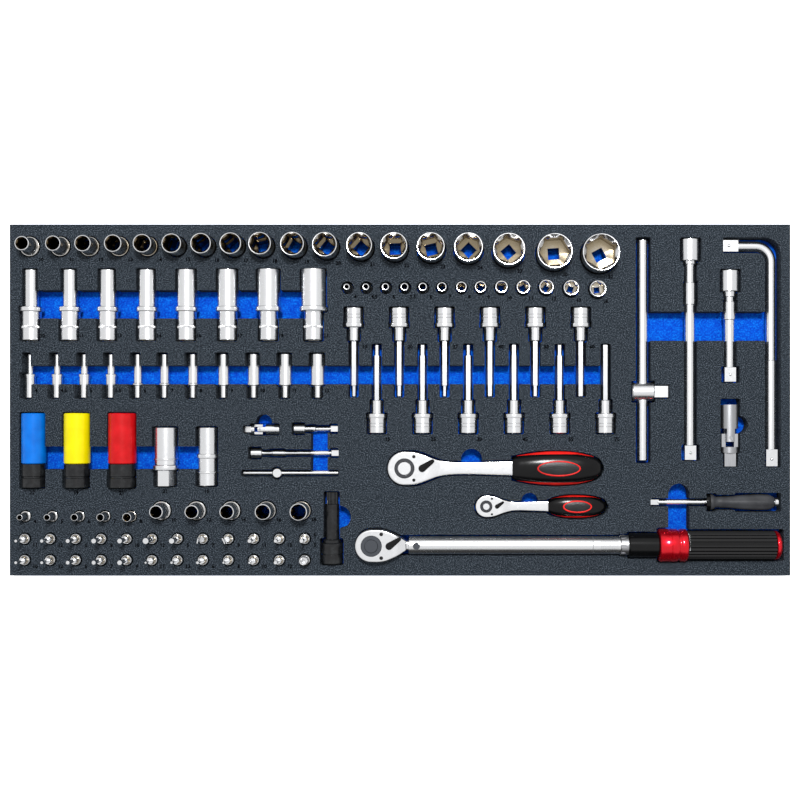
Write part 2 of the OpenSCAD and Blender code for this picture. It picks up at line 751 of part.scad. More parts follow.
// Extension bar from its socket end to its square end
module extension(steps, sq, sq_len, ball) {
    total = at(steps, len(steps));
    body = [for (i = [0:len(steps) - 2]) steps[i]];
    difference() {
        union() {
            turned(body);
            translate([0, 0, total - sq_len]) square_bar(sq, sq_len);
            translate([0, sq / 2 - ball / 2, total - sq_len / 2]) sphere(r = ball);
        }
        translate([0, 0, -1]) square_bar(sq + 0.1, sq_len + 1);
    }
}

module half_extensions() {
    color(chrome) {
        to_front(px(ext_x), py(ext_y), bar_z) extension(long_ext_steps, half_sq, 16, 1.8);
        to_front(px(short_x), py(short_y), bar_z) extension(short_ext_steps, half_sq, 16, 1.8);
    }
}

handle_at = [421.5, 175];
handle_reach = 55.2;
handle_drop = 250;
bend_r = 18;
handle_z = rest_z + half_sq / 2 + 1;

module l_handle() {
    color(chrome) translate([px(handle_at[0]), py(handle_at[1]), handle_z]) {
        translate([-bend_r, -bend_r, 0]) rotate_extrude(angle = 90) translate([bend_r, 0]) circle(d = bar_d);
        translate([-bend_r + 0.01, 0, 0]) rotate([0, -90, 0])
            cylinder(h = handle_reach - bend_r - 16.5, d = bar_d);
        translate([-handle_reach, 0, 0]) rotate([0, 90, 0]) square_bar(half_sq, 17);
        translate([-handle_reach + 6.5, 0, half_sq / 2 - 0.6]) sphere(r = 1.8);
        translate([0, -bend_r + 0.01, 0]) rotate([90, 0, 0]) {
            cylinder(h = 112, d = bar_d);
            translate([0, 0, 111.5]) turned([[102, bar_d + 1.4]]);
            translate([0, 0, 213]) square_bar(half_sq, handle_drop - bend_r - 213);
        }
        translate([0, -handle_drop + 8, half_sq / 2 - 0.6]) sphere(r = 1.8);
    }
}

// ---- Universal joints ----
// [outside diameter, square width, square length, base length, fork reach, socket length, slot half width]
half_uj = [20.4, half_sq, 15.5, 6.5, 10.4, 27, 4.8];
quarter_uj = [12.2, quarter_sq, 7.5, 3.6, 6.4, 15.4, 2.9];
half_uj_at = [373.5, -75.1];
quarter_uj_at = [-177.1, -33.2];
function uj_centre(u) = u[2] + u[3] + u[4];
function uj_total(u) = uj_centre(u) + u[4] + u[5];

// Fork pointing up to the joint's centre at the origin, its arms apart along X
module fork(u) {
    tip = u[6] - 0.35;
    intersection() {
        union() {
            translate([0, 0, -u[4] - 200]) cylinder(h = 200, d = u[0]);
            for (s = [-1, 1]) translate([s * (u[6] + 10), 0, -u[4] / 2 - 0.5 + tip / 2])
                cube([20, 2 * tip, u[4] + 1 + tip], center = true);
        }
        translate([0, 0, -u[4] - 200]) cylinder(h = 220, d = u[0]);
    }
}

module uj_half(u, base) {
    difference() {
        intersection() {
            fork(u);
            translate([-50, -50, -u[4] - base]) cube([100, 100, 100]);
        }
        rotate([0, 90, 0]) cylinder(h = 100, d = u[6] * 0.9 + 2 * fit, center = true);
    }
}

module uj_male(u) {
    translate([0, 0, uj_centre(u)]) uj_half(u, u[3]);
    square_bar(u[1], u[2] + 0.5);
}

module uj_female(u) {
    translate([0, 0, uj_centre(u)]) rotate([180, 0, 90]) difference() {
        uj_half(u, u[5]);
        translate([0, 0, -u[4] - u[5] - 1]) square_bar(u[1] + 0.1, u[2] + 1);
    }
}

module uj_cross(u) {
    block = 2 * (u[6] - 0.3);
    translate([0, 0, uj_centre(u)]) {
        cube(block, center = true);
        rotate([0, 90, 0]) cylinder(h = u[0] - 1.2, d = u[6] * 0.9, center = true);
        rotate([90, 0, 0]) cylinder(h = u[0] - 1.2, d = u[6] * 0.9, center = true);
    }
}

half_uj_z = rest_z + half_uj[0] / 2;
quarter_uj_z = rest_z + quarter_uj[0] / 2;

// The male fork's pin lies level, so the joint folds up out of its pocket
module at_half_uj() { to_back(px(half_uj_at[0]), py(half_uj_at[1]), half_uj_z) children(); }
module at_quarter_uj() {
    to_right(px(quarter_uj_at[0]), py(quarter_uj_at[1]), quarter_uj_z) rotate([0, 0, 90]) children();
}

module half_uj_male() { color(chrome) at_half_uj() uj_male(half_uj); }
module half_uj_cross() { color(satin) at_half_uj() uj_cross(half_uj); }
module half_uj_female() { color(chrome) at_half_uj() uj_female(half_uj); }
module quarter_uj_male() { color(chrome) at_quarter_uj() uj_male(quarter_uj); }
module quarter_uj_cross() { color(satin) at_quarter_uj() uj_cross(quarter_uj); }
module quarter_uj_female() { color(chrome) at_quarter_uj() uj_female(quarter_uj); }

// ---- Quarter inch bars ----
small_ext = [[-121.4, -32.5], [-170.5, -60.1]];
small_ext_steps = [
    [[13, quarter_drive_d], [6, small_bar_d + 1.2], [6, small_bar_d + 1.8], [17, small_bar_d], [8, quarter_sq]],
    [[13, quarter_drive_d], [11.5, small_bar_d], [15, small_bar_d + 1.8], [52.5, small_bar_d], [8, quarter_sq]]
];
small_bar_z = rest_z + quarter_drive_d / 2;
small_t_at = [-178.8, -82.7];
small_t_len = 108.5;
small_head_x = -139.4;
small_head_d = 11.6;
small_t_z = floor_z + 9;

module quarter_extensions() {
    color(chrome) for (i = [0:1])
        to_right(px(small_ext[i][0]), py(small_ext[i][1]), small_bar_z)
            extension(small_ext_steps[i], quarter_sq, 8, 1);
}

module quarter_t_bar() {
    color(chrome) to_right(px(small_t_at[0]), py(small_t_at[1]), small_t_z) turned([[small_t_len, small_bar_d]]);
}

module quarter_t_head() {
    color(chrome) translate([px(small_head_x), py(small_t_at[1]), small_t_z]) difference() {
        union() {
            translate([0, 0, -7]) turned([[14, small_head_d]], 1);
            translate([0, 0, -14.5]) square_bar(quarter_sq, 8);
        }
        rotate([0, 90, 0]) cylinder(h = 40, d = small_bar_d + 2 * fit, center = true);
    }
}

// ---- Foam ----
module upright_pockets() {
    for (i = [0:len(half_sizes) - 1])
        translate([px(half_x[i]), py(half_row(half_sizes[i]))]) circle(d = half_body(half_sizes[i]) + 2 * gap);
    for (i = [0:len(quarter_sizes) - 1])
        translate([px(quarter_x[i]), py(quarter_y - max(0, quarter_sizes[i] - 12))])
            circle(d = quarter_body(quarter_sizes[i]) + 2 * gap);
    for (x = half_star_x) translate([px(x), py(half_star_y)]) circle(d = half_drive_d - 1 + 2 * gap);
}

module at_2d(x, y, turn = 0) { translate([px(x), py(y)]) rotate(turn) children(); }

module lying_pockets() {
    for (i = [0:len(deep_sizes) - 1]) at_2d(deep_x[i], deep_y) pocket(deep_steps(deep_sizes[i]));
    for (i = [0:len(quarter_deep_sizes) - 1])
        at_2d(quarter_deep_x[i], quarter_deep_y) pocket(quarter_deep_steps(quarter_deep_sizes[i]));
    for (x = bit_up_x) at_2d(x, bit_up_y, 180) pocket(bit_steps);
    for (x = bit_down_x) at_2d(x, bit_down_y) pocket(bit_steps);
    for (i = [0:2]) at_2d(impact_x[i], impact_y) pocket([[impact_len, impact_d(impact_sizes[i])]]);
    at_2d(plug_x[0], plug_y) pocket([[17.5, hex_d(plug_hex)], [plug_len - 17.5, 27]]);
    at_2d(plug_x[1], plug_y) pocket([[plug_len, 23]]);
    at_2d(spline_x, spline_y) pocket([[27.9, 24], [53, 15.6]]);
}

// Outline of the bent handle's pocket, w wide on each side of its axis
module handle_outline(w) {
    outer_r = 10;
    polygon(concat(
        [[-handle_reach - 1.2, w]],
        [for (a = [90:-15:0]) [-outer_r + (outer_r + w) * cos(a), -outer_r + (outer_r + w) * sin(a)]],
        [[w, -handle_drop - 1.2], [-w, -handle_drop - 1.2]],
        [for (a = [0:15:90]) [-bend_r + (bend_r - w) * cos(a), -bend_r + (bend_r - w) * sin(a)]],
        [[-handle_reach - 1.2, -w]]
    ));
}

module bar_pockets() {
    at_2d(t_at[0], t_at[1]) pocket([[t_len, bar_d]], 2.4);
    translate([px(t_at[0]) - t_head_len / 2 - 1, py(t_head_y) - t_head_d / 2 - 1.6])
        square([t_head_len + 2, t_head_d + 3.2]);
    translate([px(t_at[0]), py(t_head_y) - half_sq / 2 - 1.6]) square([t_head_len / 2 + 17, half_sq + 3.2]);
    at_2d(ext_x, ext_y, 180) pocket(long_fit(long_ext_steps));
    at_2d(short_x, short_y, 180) pocket(long_fit(short_ext_steps));
    at_2d(handle_at[0], handle_at[1]) handle_outline(half_sq / 2 + 2.6);
    at_2d(half_uj_at[0], half_uj_at[1])
        pocket([[half_uj[2], half_sq * sqrt(2) - 3], [uj_total(half_uj) - half_uj[2] + 6, half_uj[0]]], 1);
    at_2d(quarter_uj_at[0], quarter_uj_at[1], -90)
        pocket([[quarter_uj[2], quarter_sq + 1], [uj_total(quarter_uj) - quarter_uj[2] + 1, quarter_uj[0]]], 0.8);
    for (i = [0:1]) at_2d(small_ext[i][0], small_ext[i][1], -90) pocket(long_fit(small_ext_steps[i]));
    at_2d(small_t_at[0], small_t_at[1], -90) pocket([[small_t_len, small_bar_d]], 1);
    at_2d(small_head_x, small_t_at[1]) circle(d = small_head_d + 3.4);
    at_2d(spinner_at[0], spinner_at[1], -90)
        pocket([[grip_from - 3.4, spinner_shaft_d + 1], [10, 19], [22, 15.4], [50.6, 19.8]], 1);
}

// The square end of a bar has room on both sides, where a fingertip gets hold of it
function long_fit(steps) = [
    for (i = [0:len(steps) - 1]) i == len(steps) - 1 ? [steps[i][0], steps[i][1] * sqrt(2)] : steps[i]
];

function grown(points, g) = [for (p = points) [p[0], p[1] + g]];

module handle_pocket(k, h) {
    last = h[3][len(h[3]) - 1][0];
    circle(r = k[0] + gap);
    polygon(both(grown(h[0], gap)));
    polygon(both(grown(h[1], gap)));
    polygon(both(concat([[h[3][0][0] - gap, h[3][0][1] + gap]], grown(h[3], gap), [[last + 1.5, 2]])));
}

module wrench_pocket() {
    circle(r = wrench_kit[0] + gap);
    polygon(both(grown(wrench_head, gap)));
    translate([30, 0]) rotate(-90) pocket([[index_x - 30, tube_d], [sleeve_x - index_x, tube_d + 2.4], [ring_x - sleeve_x, 27.6],
        [grip_x - ring_x, ring_d], [cap_end - grip_x + 3.2, grip_d]]);
}

module finger_slots() {
    translate([px(deep_x[0]), py(108.2) - deep_slot_w / 2]) square([px(deep_x[7]) - px(deep_x[0]), deep_slot_w]);
    translate([px(quarter_deep_x[0]), py(28.5) - mid_slot_w / 2])
        square([px(bit_down_x[5]) - px(quarter_deep_x[0]), mid_slot_w]);
    translate([px(impact_x[0]), py(-65.5) - 13]) square([px(plug_x[1]) - px(impact_x[0]), 26]);
    translate([px(t_at[0]), py(83.5) - 16.5]) square([px(handle_at[0]) - px(t_at[0]), 33]);
    translate([px(-91.3) - 9.5, py(small_t_at[1])]) square([19, py(-32.5) - py(small_t_at[1])]);
    translate([px(315.2) - 12, py(-160)]) square([24, py(-106.5) - py(-160)]);
    translate([px(315.2), py(-106.5)]) circle(r = 12);
}

module finger_notches() {
    at_2d(-154, -25.5) circle(r = notch_r - 0.6);
    at_2d(80.8, -67.1) circle(r = notch_r + 1.9);
    at_2d(146.6, -114.4) circle(r = notch_r - 0.6);
    at_2d(383, -28) circle(r = notch_r + 0.2);
    at_2d(-68.7, -132.3) circle(r = notch_r + 3);
}

module blind_holes() {
    for (x = quarter_star_x) translate([px(x), py(quarter_star_y), face_z - quarter_star_deep])
        cylinder(h = quarter_star_deep + 1, d = quarter_drive_d - 0.4 + 2 * gap);
    for (y = short_bit_y, x = short_bit_x) translate([px(x), py(y), face_z - short_deep])
        cylinder(h = short_deep + 1, d = short_drive_d + 2 * gap);
}

module foam_top() {
    color([0.23, 0.25, 0.27]) difference() {
        translate([0, 0, base_t]) linear_extrude(top_t) difference() {
            square([tray_l, tray_w], center = true);
            upright_pockets();
            lying_pockets();
            bar_pockets();
            finger_slots();
            finger_notches();
            at_2d(half_at[0], half_at[1]) handle_pocket(half_kit, half_handle);
            at_2d(quarter_at[0], quarter_at[1]) handle_pocket(quarter_kit, quarter_handle);
            at_2d(wrench_at[0], wrench_at[1]) wrench_pocket();
        }
        blind_holes();
    }
}

module recess(x, y, plane, k) {
    low = plane - k[1] / 2 - 0.6 - k[10] - 1;
    translate([px(x), py(y), low]) cylinder(h = base_t, r = k[9] * 0.75 + 1);
}

module fold_room(uj) {
    translate([-uj[0] / 2 - 1, -2, uj[2]]) cube([uj[0] + 2, 4, uj_total(uj) - uj[2]]);
}

module foam_base() {
    color([0.03, 0.3, 0.85]) difference() {
        translate([-tray_l / 2, -tray_w / 2, 0]) cube([tray_l, tray_w, base_t]);
        recess(half_at[0], half_at[1], half_plane, half_kit);
        recess(quarter_at[0], quarter_at[1], quarter_plane, quarter_kit);
        recess(wrench_at[0], wrench_at[1], wrench_plane, wrench_kit);
        translate([px(small_head_x), py(small_t_at[1]), small_t_z - 15.5]) cylinder(h = base_t, d = 14);
        // A folding joint dips before it rises
        to_back(px(half_uj_at[0]), py(half_uj_at[1]), base_t) fold_room(half_uj);
        to_right(px(quarter_uj_at[0]), py(quarter_uj_at[1]), base_t) rotate([0, 0, 90]) fold_room(quarter_uj);
    }
}

foam_top();
foam_base();
half_sockets();
half_deep_sockets();
quarter_sockets();
quarter_deep_sockets();
bit_socket_holders();
bit_socket_blades();
impact_sockets();
sleeve_blue();
sleeve_yellow();
sleeve_red();
plug_sockets();
quarter_star_sockets();
half_star_sockets();
short_bit_holders();
short_bit_blades();
bit_adapter();
spline_bit();
half_ratchet_body();
half_ratchet_drive();
half_ratchet_button();
half_ratchet_lever();
half_ratchet_screws();
half_ratchet_grip();
half_ratchet_inlays();
quarter_ratchet_body();
quarter_ratchet_drive();
quarter_ratchet_button();
quarter_ratchet_lever();
quarter_ratchet_screws();
quarter_ratchet_grip();
quarter_ratchet_inlays();
torque_head();
torque_drive();
torque_button();
torque_lever();
torque_fasteners();
torque_tube();
torque_scale();
torque_index_ring();
torque_sleeve();
torque_ring();
torque_grip();
torque_cap();
spinner_shaft();
spinner_grip();
half_t_bar();
half_t_head();
half_extensions();
l_handle();
half_uj_male();
half_uj_cross();
half_uj_female();
quarter_uj_male();
quarter_uj_cross();
quarter_uj_female();
quarter_t_bar();
quarter_t_head();
quarter_extensions();
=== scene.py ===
"""Looks of a socket wrench set laid out in a two-layer foam inlay.

The frame gives every tool its place: sizes that the frame doesn't hold, such as the crown of a grip,
are fields of the class that makes the piece. Lengths in fields are in millimetres and meshes in metres.
"""

import logging
import math
from collections.abc import Sequence
from dataclasses import dataclass
from enum import Enum

import bpy
import numpy as np
from numpy.typing import NDArray
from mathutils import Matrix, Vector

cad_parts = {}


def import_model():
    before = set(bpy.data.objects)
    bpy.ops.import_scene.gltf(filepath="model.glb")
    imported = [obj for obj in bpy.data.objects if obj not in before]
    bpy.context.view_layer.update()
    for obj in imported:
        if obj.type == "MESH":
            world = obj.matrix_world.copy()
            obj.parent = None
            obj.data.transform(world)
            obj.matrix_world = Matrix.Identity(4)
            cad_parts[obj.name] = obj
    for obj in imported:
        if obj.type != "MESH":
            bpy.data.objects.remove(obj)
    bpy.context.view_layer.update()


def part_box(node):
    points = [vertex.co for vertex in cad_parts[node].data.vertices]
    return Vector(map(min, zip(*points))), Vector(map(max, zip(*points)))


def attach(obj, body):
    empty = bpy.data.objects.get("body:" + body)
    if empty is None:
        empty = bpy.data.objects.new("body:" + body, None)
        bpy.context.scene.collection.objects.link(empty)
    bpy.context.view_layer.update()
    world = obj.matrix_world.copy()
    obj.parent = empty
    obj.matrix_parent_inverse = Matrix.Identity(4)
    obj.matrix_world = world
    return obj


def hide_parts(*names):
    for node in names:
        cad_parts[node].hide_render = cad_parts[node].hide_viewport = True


Points = NDArray[np.float64]
Shell = tuple[Points, list[tuple[int, ...]]]

MM = 0.001
LOG = logging.getLogger("socket_set")


# ---------------------------------------------------------------- surfaces


def grid_shell(points: Points, wrap_rows: bool, wrap_columns: bool) -> Shell:
    """Joins a grid of points into quads; a row or column index that wraps closes the surface.

    Args:
        points: Array of shape (rows, columns, 3).
        wrap_rows: True if the last row joins the first.
        wrap_columns: True if the last column joins the first.

    Returns:
        The vertices and the quads.
    """
    rows, columns = points.shape[:2]
    index = np.arange(rows * columns).reshape(rows, columns)
    if wrap_rows:
        index = np.vstack([index, index[:1]])
    if wrap_columns:
        index = np.hstack([index, index[:, :1]])
    quads = np.stack([index[:-1, :-1], index[:-1, 1:], index[1:, 1:], index[1:, :-1]], axis=-1)
    return points.reshape(-1, 3), [tuple(q) for q in quads.reshape(-1, 4).tolist()]


def capped(points: Points) -> Shell:
    """A tube of rings (rows), closed round each ring, with a flat fan over its first and last ring.

    Args:
        points: Array of shape (rings, points round each ring, 3).

    Returns:
        The vertices and faces of the closed tube.
    """
    vertices, faces = grid_shell(points, False, True)
    rings, around = points.shape[:2]
    centres = np.array([points[0].mean(axis=0), points[-1].mean(axis=0)])
    first, last = len(vertices), len(vertices) + 1
    end = (rings - 1) * around
    for i in range(around):
        j = (i + 1) % around
        faces.append((first, j, i))
        faces.append((last, end + i, end + j))
    return np.vstack([vertices, centres]), faces


def joined(shells: Sequence[Shell]) -> Shell:
    """Several shells as one list of vertices and faces."""
    vertices, faces, start = [], [], 0
    for points, quads in shells:
        vertices.append(points)
        faces += [tuple(start + i for i in quad) for quad in quads]
        start += len(points)
    return np.vstack(vertices), faces


def through(x: Points, knots: Sequence[tuple[float, float]]) -> Points:
    """Height at x of the smooth curve through the knots.

    Between two knots it is the cubic that has, at each knot, the slope of the line through that knot's
    neighbours.

    Args:
        x: Places to evaluate at, within the knots.
        knots: (place, height) pairs in rising order of place.

    Returns:
        The heights, of x's shape.
    """
    at, height = np.array(knots, dtype=float).T
    slope = np.gradient(height, at)
    i = np.clip(np.searchsorted(at, x, side="right") - 1, 0, len(at) - 2)
    step = at[i + 1] - at[i]
    u = (x - at[i]) / step
    return (
        (1 + 2 * u) * (1 - u) ** 2 * height[i]
        + u * (1 - u) ** 2 * step * slope[i]
        + u**2 * (3 - 2 * u) * height[i + 1]
        - u**2 * (1 - u) * step * slope[i + 1]
    )


def oval(angle: Points, power: float) -> tuple[Points, Points]:
    """Unit superellipse: |y|^power + |z|^power = 1, as (y, z) at each angle."""
    c, s = np.cos(angle), np.sin(angle)
    return np.sign(c) * np.abs(c) ** (2 / power), np.sign(s) * np.abs(s) ** (2 / power)


def turned(profile: Sequence[tuple[float, float]], around: int = 96) -> Shell:
    """A closed solid of revolution about X: each (place, radius) of the closed profile becomes a circle.

    Args:
        profile: Corners of the closed outline as (x, radius), in order from the outer left corner
            over the outside to the right and back along the bore.
        around: Points round each circle.

    Returns:
        The closed shell.
    """
    x, r = np.array(profile, dtype=float).T
    a = np.linspace(0, 2 * np.pi, around, endpoint=False)[:, None]
    points = np.stack([x + 0 * a, r * np.cos(a), r * np.sin(a)], axis=-1)
    return grid_shell(points, True, True)


def rounded(
    profile: Sequence[tuple[float, float]], radius: float, steps: int = 4
) -> list[tuple[float, float]]:
    """Rounds every corner of a closed outline with a quadratic curve that starts `radius` from the corner."""
    corners = np.array(profile, dtype=float)
    before, after = np.roll(corners, 1, axis=0), np.roll(corners, -1, axis=0)
    result: list[tuple[float, float]] = []
    for corner, b, a in zip(corners, before, after):
        to_b, to_a = b - corner, a - corner
        reach = min(radius, 0.45 * float(np.hypot(*to_b)), 0.45 * float(np.hypot(*to_a)))
        start = corner + to_b / np.hypot(*to_b) * reach
        stop = corner + to_a / np.hypot(*to_a) * reach
        for u in np.linspace(0, 1, steps):
            p = (1 - u) ** 2 * start + 2 * u * (1 - u) * corner + u**2 * stop
            result.append((float(p[0]), float(p[1])))
    return result


# ---------------------------------------------------------------- materials


def linear(colour: str) -> tuple[float, float, float, float]:
    """An sRGB hex colour such as "8090A0" as linear red, green, blue and alpha."""
    values = [int(colour[i : i + 2], 16) / 255 for i in (0, 2, 4)]
    r, g, b = (v / 12.92 if v <= 0.04045 else ((v + 0.055) / 1.055) ** 2.4 for v in values)
    return r, g, b, 1.0


def add_node(
    tree: bpy.types.NodeTree,
    kind: str,
    inputs: dict[str | int, object] | None = None,
    **settings: object,
) -> bpy.types.Node:
    """Adds a node with its settings, input values and links.

    Args:
        tree: The node tree.
        kind: The node's type name.
        inputs: Input name or number to a value, or to the output socket that feeds it.
        **settings: Attributes of the node itself.

    Returns:
        The new node.
    """
    node = tree.nodes.new(kind)
    for name, value in settings.items():
        setattr(node, name, value)
    for name, value in (inputs or {}).items():
        if isinstance(value, bpy.types.NodeSocket):
            tree.links.new(value, node.inputs[name])
        else:
            node.inputs[name].default_value = value
    return node


def ramp(
    tree: bpy.types.NodeTree, factor: bpy.types.NodeSocket, stops: Sequence[tuple[float, str]]
) -> bpy.types.Node:
    """A colour ramp through (place, hex colour) stops."""
    node = add_node(tree, "ShaderNodeValToRGB", {"Fac": factor})
    elements = node.color_ramp.elements
    while len(elements) < len(stops):
        elements.new(0.5)
    for element, (place, colour) in zip(elements, stops):
        element.position = place
        element.color = linear(colour)
    return node


def new_tree(name: str) -> tuple[bpy.types.Material, bpy.types.NodeTree, bpy.types.NodeSocket]:
    """An empty material, its node tree and the socket of the piece's own coordinates."""
    material = bpy.data.materials.new(name)
    material.use_nodes = True
    tree = material.node_tree
    tree.nodes.clear()
    return material, tree, add_node(tree, "ShaderNodeTexCoord").outputs["Object"]


def close_tree(tree: bpy.types.NodeTree, shader: bpy.types.Node) -> None:
    """Links the shader to the material's output."""
    add_node(tree, "ShaderNodeOutputMaterial", {"Surface": shader.outputs[0]})


@dataclass(frozen=True)
class CutFoam:
    """Closed-cell polyethylene foam, cut through: matt, with pinhead cells that catch the light."""

    name: str
    dark: str
    middle: str
    light: str
    cell: float = 1.2
    patch: float = 14.0
    share: float = 0.12
    relief: float = 0.4

    def material(self) -> bpy.types.Material:
        """Cell-sized specks over slow patches of the same colour, raised by the same specks."""
        material, tree, place = new_tree(self.name)
        specks = add_node(
            tree, "ShaderNodeTexNoise",
            {"Vector": place, "Scale": 1 / (self.cell * MM), "Detail": 3.0, "Roughness": 0.7}
        )
        patches = add_node(
            tree, "ShaderNodeTexNoise", {"Vector": place, "Scale": 1 / (self.patch * MM), "Detail": 2.0}
        )
        mixed = add_node(
            tree, "ShaderNodeMix",
            {"Factor": self.share, "A": specks.outputs["Fac"], "B": patches.outputs["Fac"]}
        )
        colour = ramp(
            tree, mixed.outputs["Result"], [(0.3, self.dark), (0.5, self.middle), (0.7, self.light)]
        )
        bump = add_node(
            tree, "ShaderNodeBump",
            {"Height": specks.outputs["Fac"], "Strength": 0.6, "Distance": self.relief * MM},
        )
        close_tree(tree, add_node(
            tree, "ShaderNodeBsdfPrincipled",
            {"Base Color": colour.outputs["Color"], "Roughness": 0.92, "Specular IOR Level": 0.1,
             "Normal": bump.outputs["Normal"]},
        ))
        return material


@dataclass(frozen=True)
class PlatedSteel:
    """Nickel-chrome on tumbled steel: bright and softly blurred. Inside a socket it is a little warmer from
    the bores' nickel tone and darker from painted shade.
    """

    name: str
    colour: str = "DCDDDF"
    # Colour in the bores: their warm nickel tone, darkened as painted shade.
    hollow: str = ""
    roughness: float = 0.24
    grain: float = 2.5
    reach: float = 12.0

    def material(self) -> bpy.types.Material:
        """Plated metal with painted shade in its hollows, where ambient occlusion darkens the colour and
        warms it to the bores' nickel tone; it also has the faint unevenness of tumbling.
        """
        material, tree, place = new_tree(self.name)
        colour: object = linear(self.colour)
        # Painted shade: ambient occlusion within reach darkens the colour to 241F18 in closed-in hollows. The
        # middle stop mixes the bores' warm nickel tone with painted shade.
        if self.hollow:
            painted_shade_ao = add_node(
                tree, "ShaderNodeAmbientOcclusion", {"Distance": self.reach * MM}, samples=8, only_local=True
            )
            stops = [(0.05, "241F18"), (0.6, self.hollow), (0.97, self.colour)]
            colour = ramp(tree, painted_shade_ao.outputs["AO"], stops).outputs["Color"]
        grain = add_node(
            tree, "ShaderNodeTexNoise", {"Vector": place, "Scale": 1 / (self.grain * MM), "Detail": 4.0}
        )
        rough = add_node(
            tree, "ShaderNodeMapRange",
            {"Value": grain.outputs["Fac"], "To Min": self.roughness - 0.05, "To Max": self.roughness + 0.07},
        )
        bump = add_node(
            tree, "ShaderNodeBump", {"Height": grain.outputs["Fac"], "Strength": 0.12, "Distance": 0.05 * MM}
        )
        close_tree(tree, add_node(
            tree, "ShaderNodeBsdfPrincipled",
            {"Base Color": colour, "Metallic": 1.0, "Roughness": rough.outputs[0],
             "Normal": bump.outputs["Normal"]},
        ))
        return material


@dataclass(frozen=True)
class GroundSteel:
    """Tool steel left bare after grinding: greyer than chrome, with grinding lines along one axis."""

    name: str
    colour: str = "9C9DA0"
    roughness: float = 0.34
    line: float = 0.5
    along: tuple[float, float, float] = (1.0, 0.05, 1.0)

    def material(self) -> bpy.types.Material:
        """Metal whose roughness and height follow noise that is stretched along the grinding."""
        material, tree, place = new_tree(self.name)
        stretched = add_node(tree, "ShaderNodeMapping", {"Vector": place, "Scale": self.along})
        lines = add_node(
            tree, "ShaderNodeTexNoise",
            {"Vector": stretched.outputs[0], "Scale": 1 / (self.line * MM), "Detail": 2.0},
        )
        rough = add_node(
            tree, "ShaderNodeMapRange",
            {"Value": lines.outputs["Fac"], "To Min": self.roughness - 0.08, "To Max": self.roughness + 0.1},
        )
        bump = add_node(
            tree, "ShaderNodeBump", {"Height": lines.outputs["Fac"], "Strength": 0.25, "Distance": 0.04 * MM}
        )
        close_tree(tree, add_node(
            tree, "ShaderNodeBsdfPrincipled",
            {"Base Color": linear(self.colour), "Metallic": 1.0, "Roughness": rough.outputs[0],
             "Normal": bump.outputs["Normal"]},
        ))
        return material


@dataclass(frozen=True)
class BlackPhosphate:
    """Forged steel with a black phosphate skin: oily, nearly matt, a little grey where it is rubbed."""

    name: str
    colour: str = "0C0D0F"
    rubbed: str = "1B1D1F"

    def material(self) -> bpy.types.Material:
        """Dark skin with rubbed patches a few millimetres wide and a fine cast of grit."""
        material, tree, place = new_tree(self.name)
        wear = add_node(tree, "ShaderNodeTexNoise", {"Vector": place, "Scale": 1 / (6 * MM), "Detail": 6.0})
        grit = add_node(tree, "ShaderNodeTexNoise", {"Vector": place, "Scale": 1 / (0.7 * MM), "Detail": 2.0})
        colour = ramp(tree, wear.outputs["Fac"], [(0.45, self.colour), (0.7, self.rubbed)])
        bump = add_node(
            tree, "ShaderNodeBump", {"Height": grit.outputs["Fac"], "Strength": 0.35, "Distance": 0.08 * MM}
        )
        close_tree(tree, add_node(
            tree, "ShaderNodeBsdfPrincipled",
            {"Base Color": colour.outputs["Color"], "Roughness": 0.24, "Specular IOR Level": 0.35,
             "Normal": bump.outputs["Normal"]},
        ))
        return material


@dataclass(frozen=True)
class Moulded:
    """Injection-moulded plastic or rubber: one colour, with the spark-eroded grain of its mould."""

    name: str
    colour: str
    deep: str
    roughness: float
    grain: float
    relief: float
    gleam: float = 0.2

    def material(self) -> bpy.types.Material:
        """Slight tone changes and a moulded grain whose pits are `grain` wide and `relief` deep."""
        material, tree, place = new_tree(self.name)
        tone = add_node(tree, "ShaderNodeTexNoise", {"Vector": place, "Scale": 1 / (14 * MM), "Detail": 3.0})
        pits = add_node(
            tree, "ShaderNodeTexNoise", {"Vector": place, "Scale": 1 / (self.grain * MM), "Detail": 2.0}
        )
        colour = ramp(tree, tone.outputs["Fac"], [(0.35, self.deep), (0.65, self.colour)])
        bump = add_node(
            tree, "ShaderNodeBump",
            {"Height": pits.outputs["Fac"], "Strength": 0.4, "Distance": self.relief * MM}
        )
        close_tree(tree, add_node(
            tree, "ShaderNodeBsdfPrincipled",
            {"Base Color": colour.outputs["Color"], "Roughness": self.roughness,
             "Specular IOR Level": self.gleam, "Normal": bump.outputs["Normal"]},
        ))
        return material


@dataclass(frozen=True)
class Anodised:
    """Turned aluminium dyed red in its oxide: metallic, with the tool's fine turning rings."""

    name: str
    colour: str
    pitch: float = 0.6

    def material(self) -> bpy.types.Material:
        """Coloured metal with turning rings across X; the rings are drawn wider than life to show."""
        material, tree, place = new_tree(self.name)
        rings = add_node(
            tree, "ShaderNodeTexWave",
            {"Vector": place, "Scale": 0.314 / (self.pitch * MM), "Distortion": 0.3},
            bands_direction="X",
        )
        bump = add_node(
            tree, "ShaderNodeBump", {"Height": rings.outputs["Fac"], "Strength": 0.15, "Distance": 0.03 * MM}
        )
        close_tree(tree, add_node(
            tree, "ShaderNodeBsdfPrincipled",
            {"Base Color": linear(self.colour), "Metallic": 0.85, "Roughness": 0.26, "Coat Weight": 0.4,
             "Coat Roughness": 0.1, "Normal": bump.outputs["Normal"]},
        ))
        return material


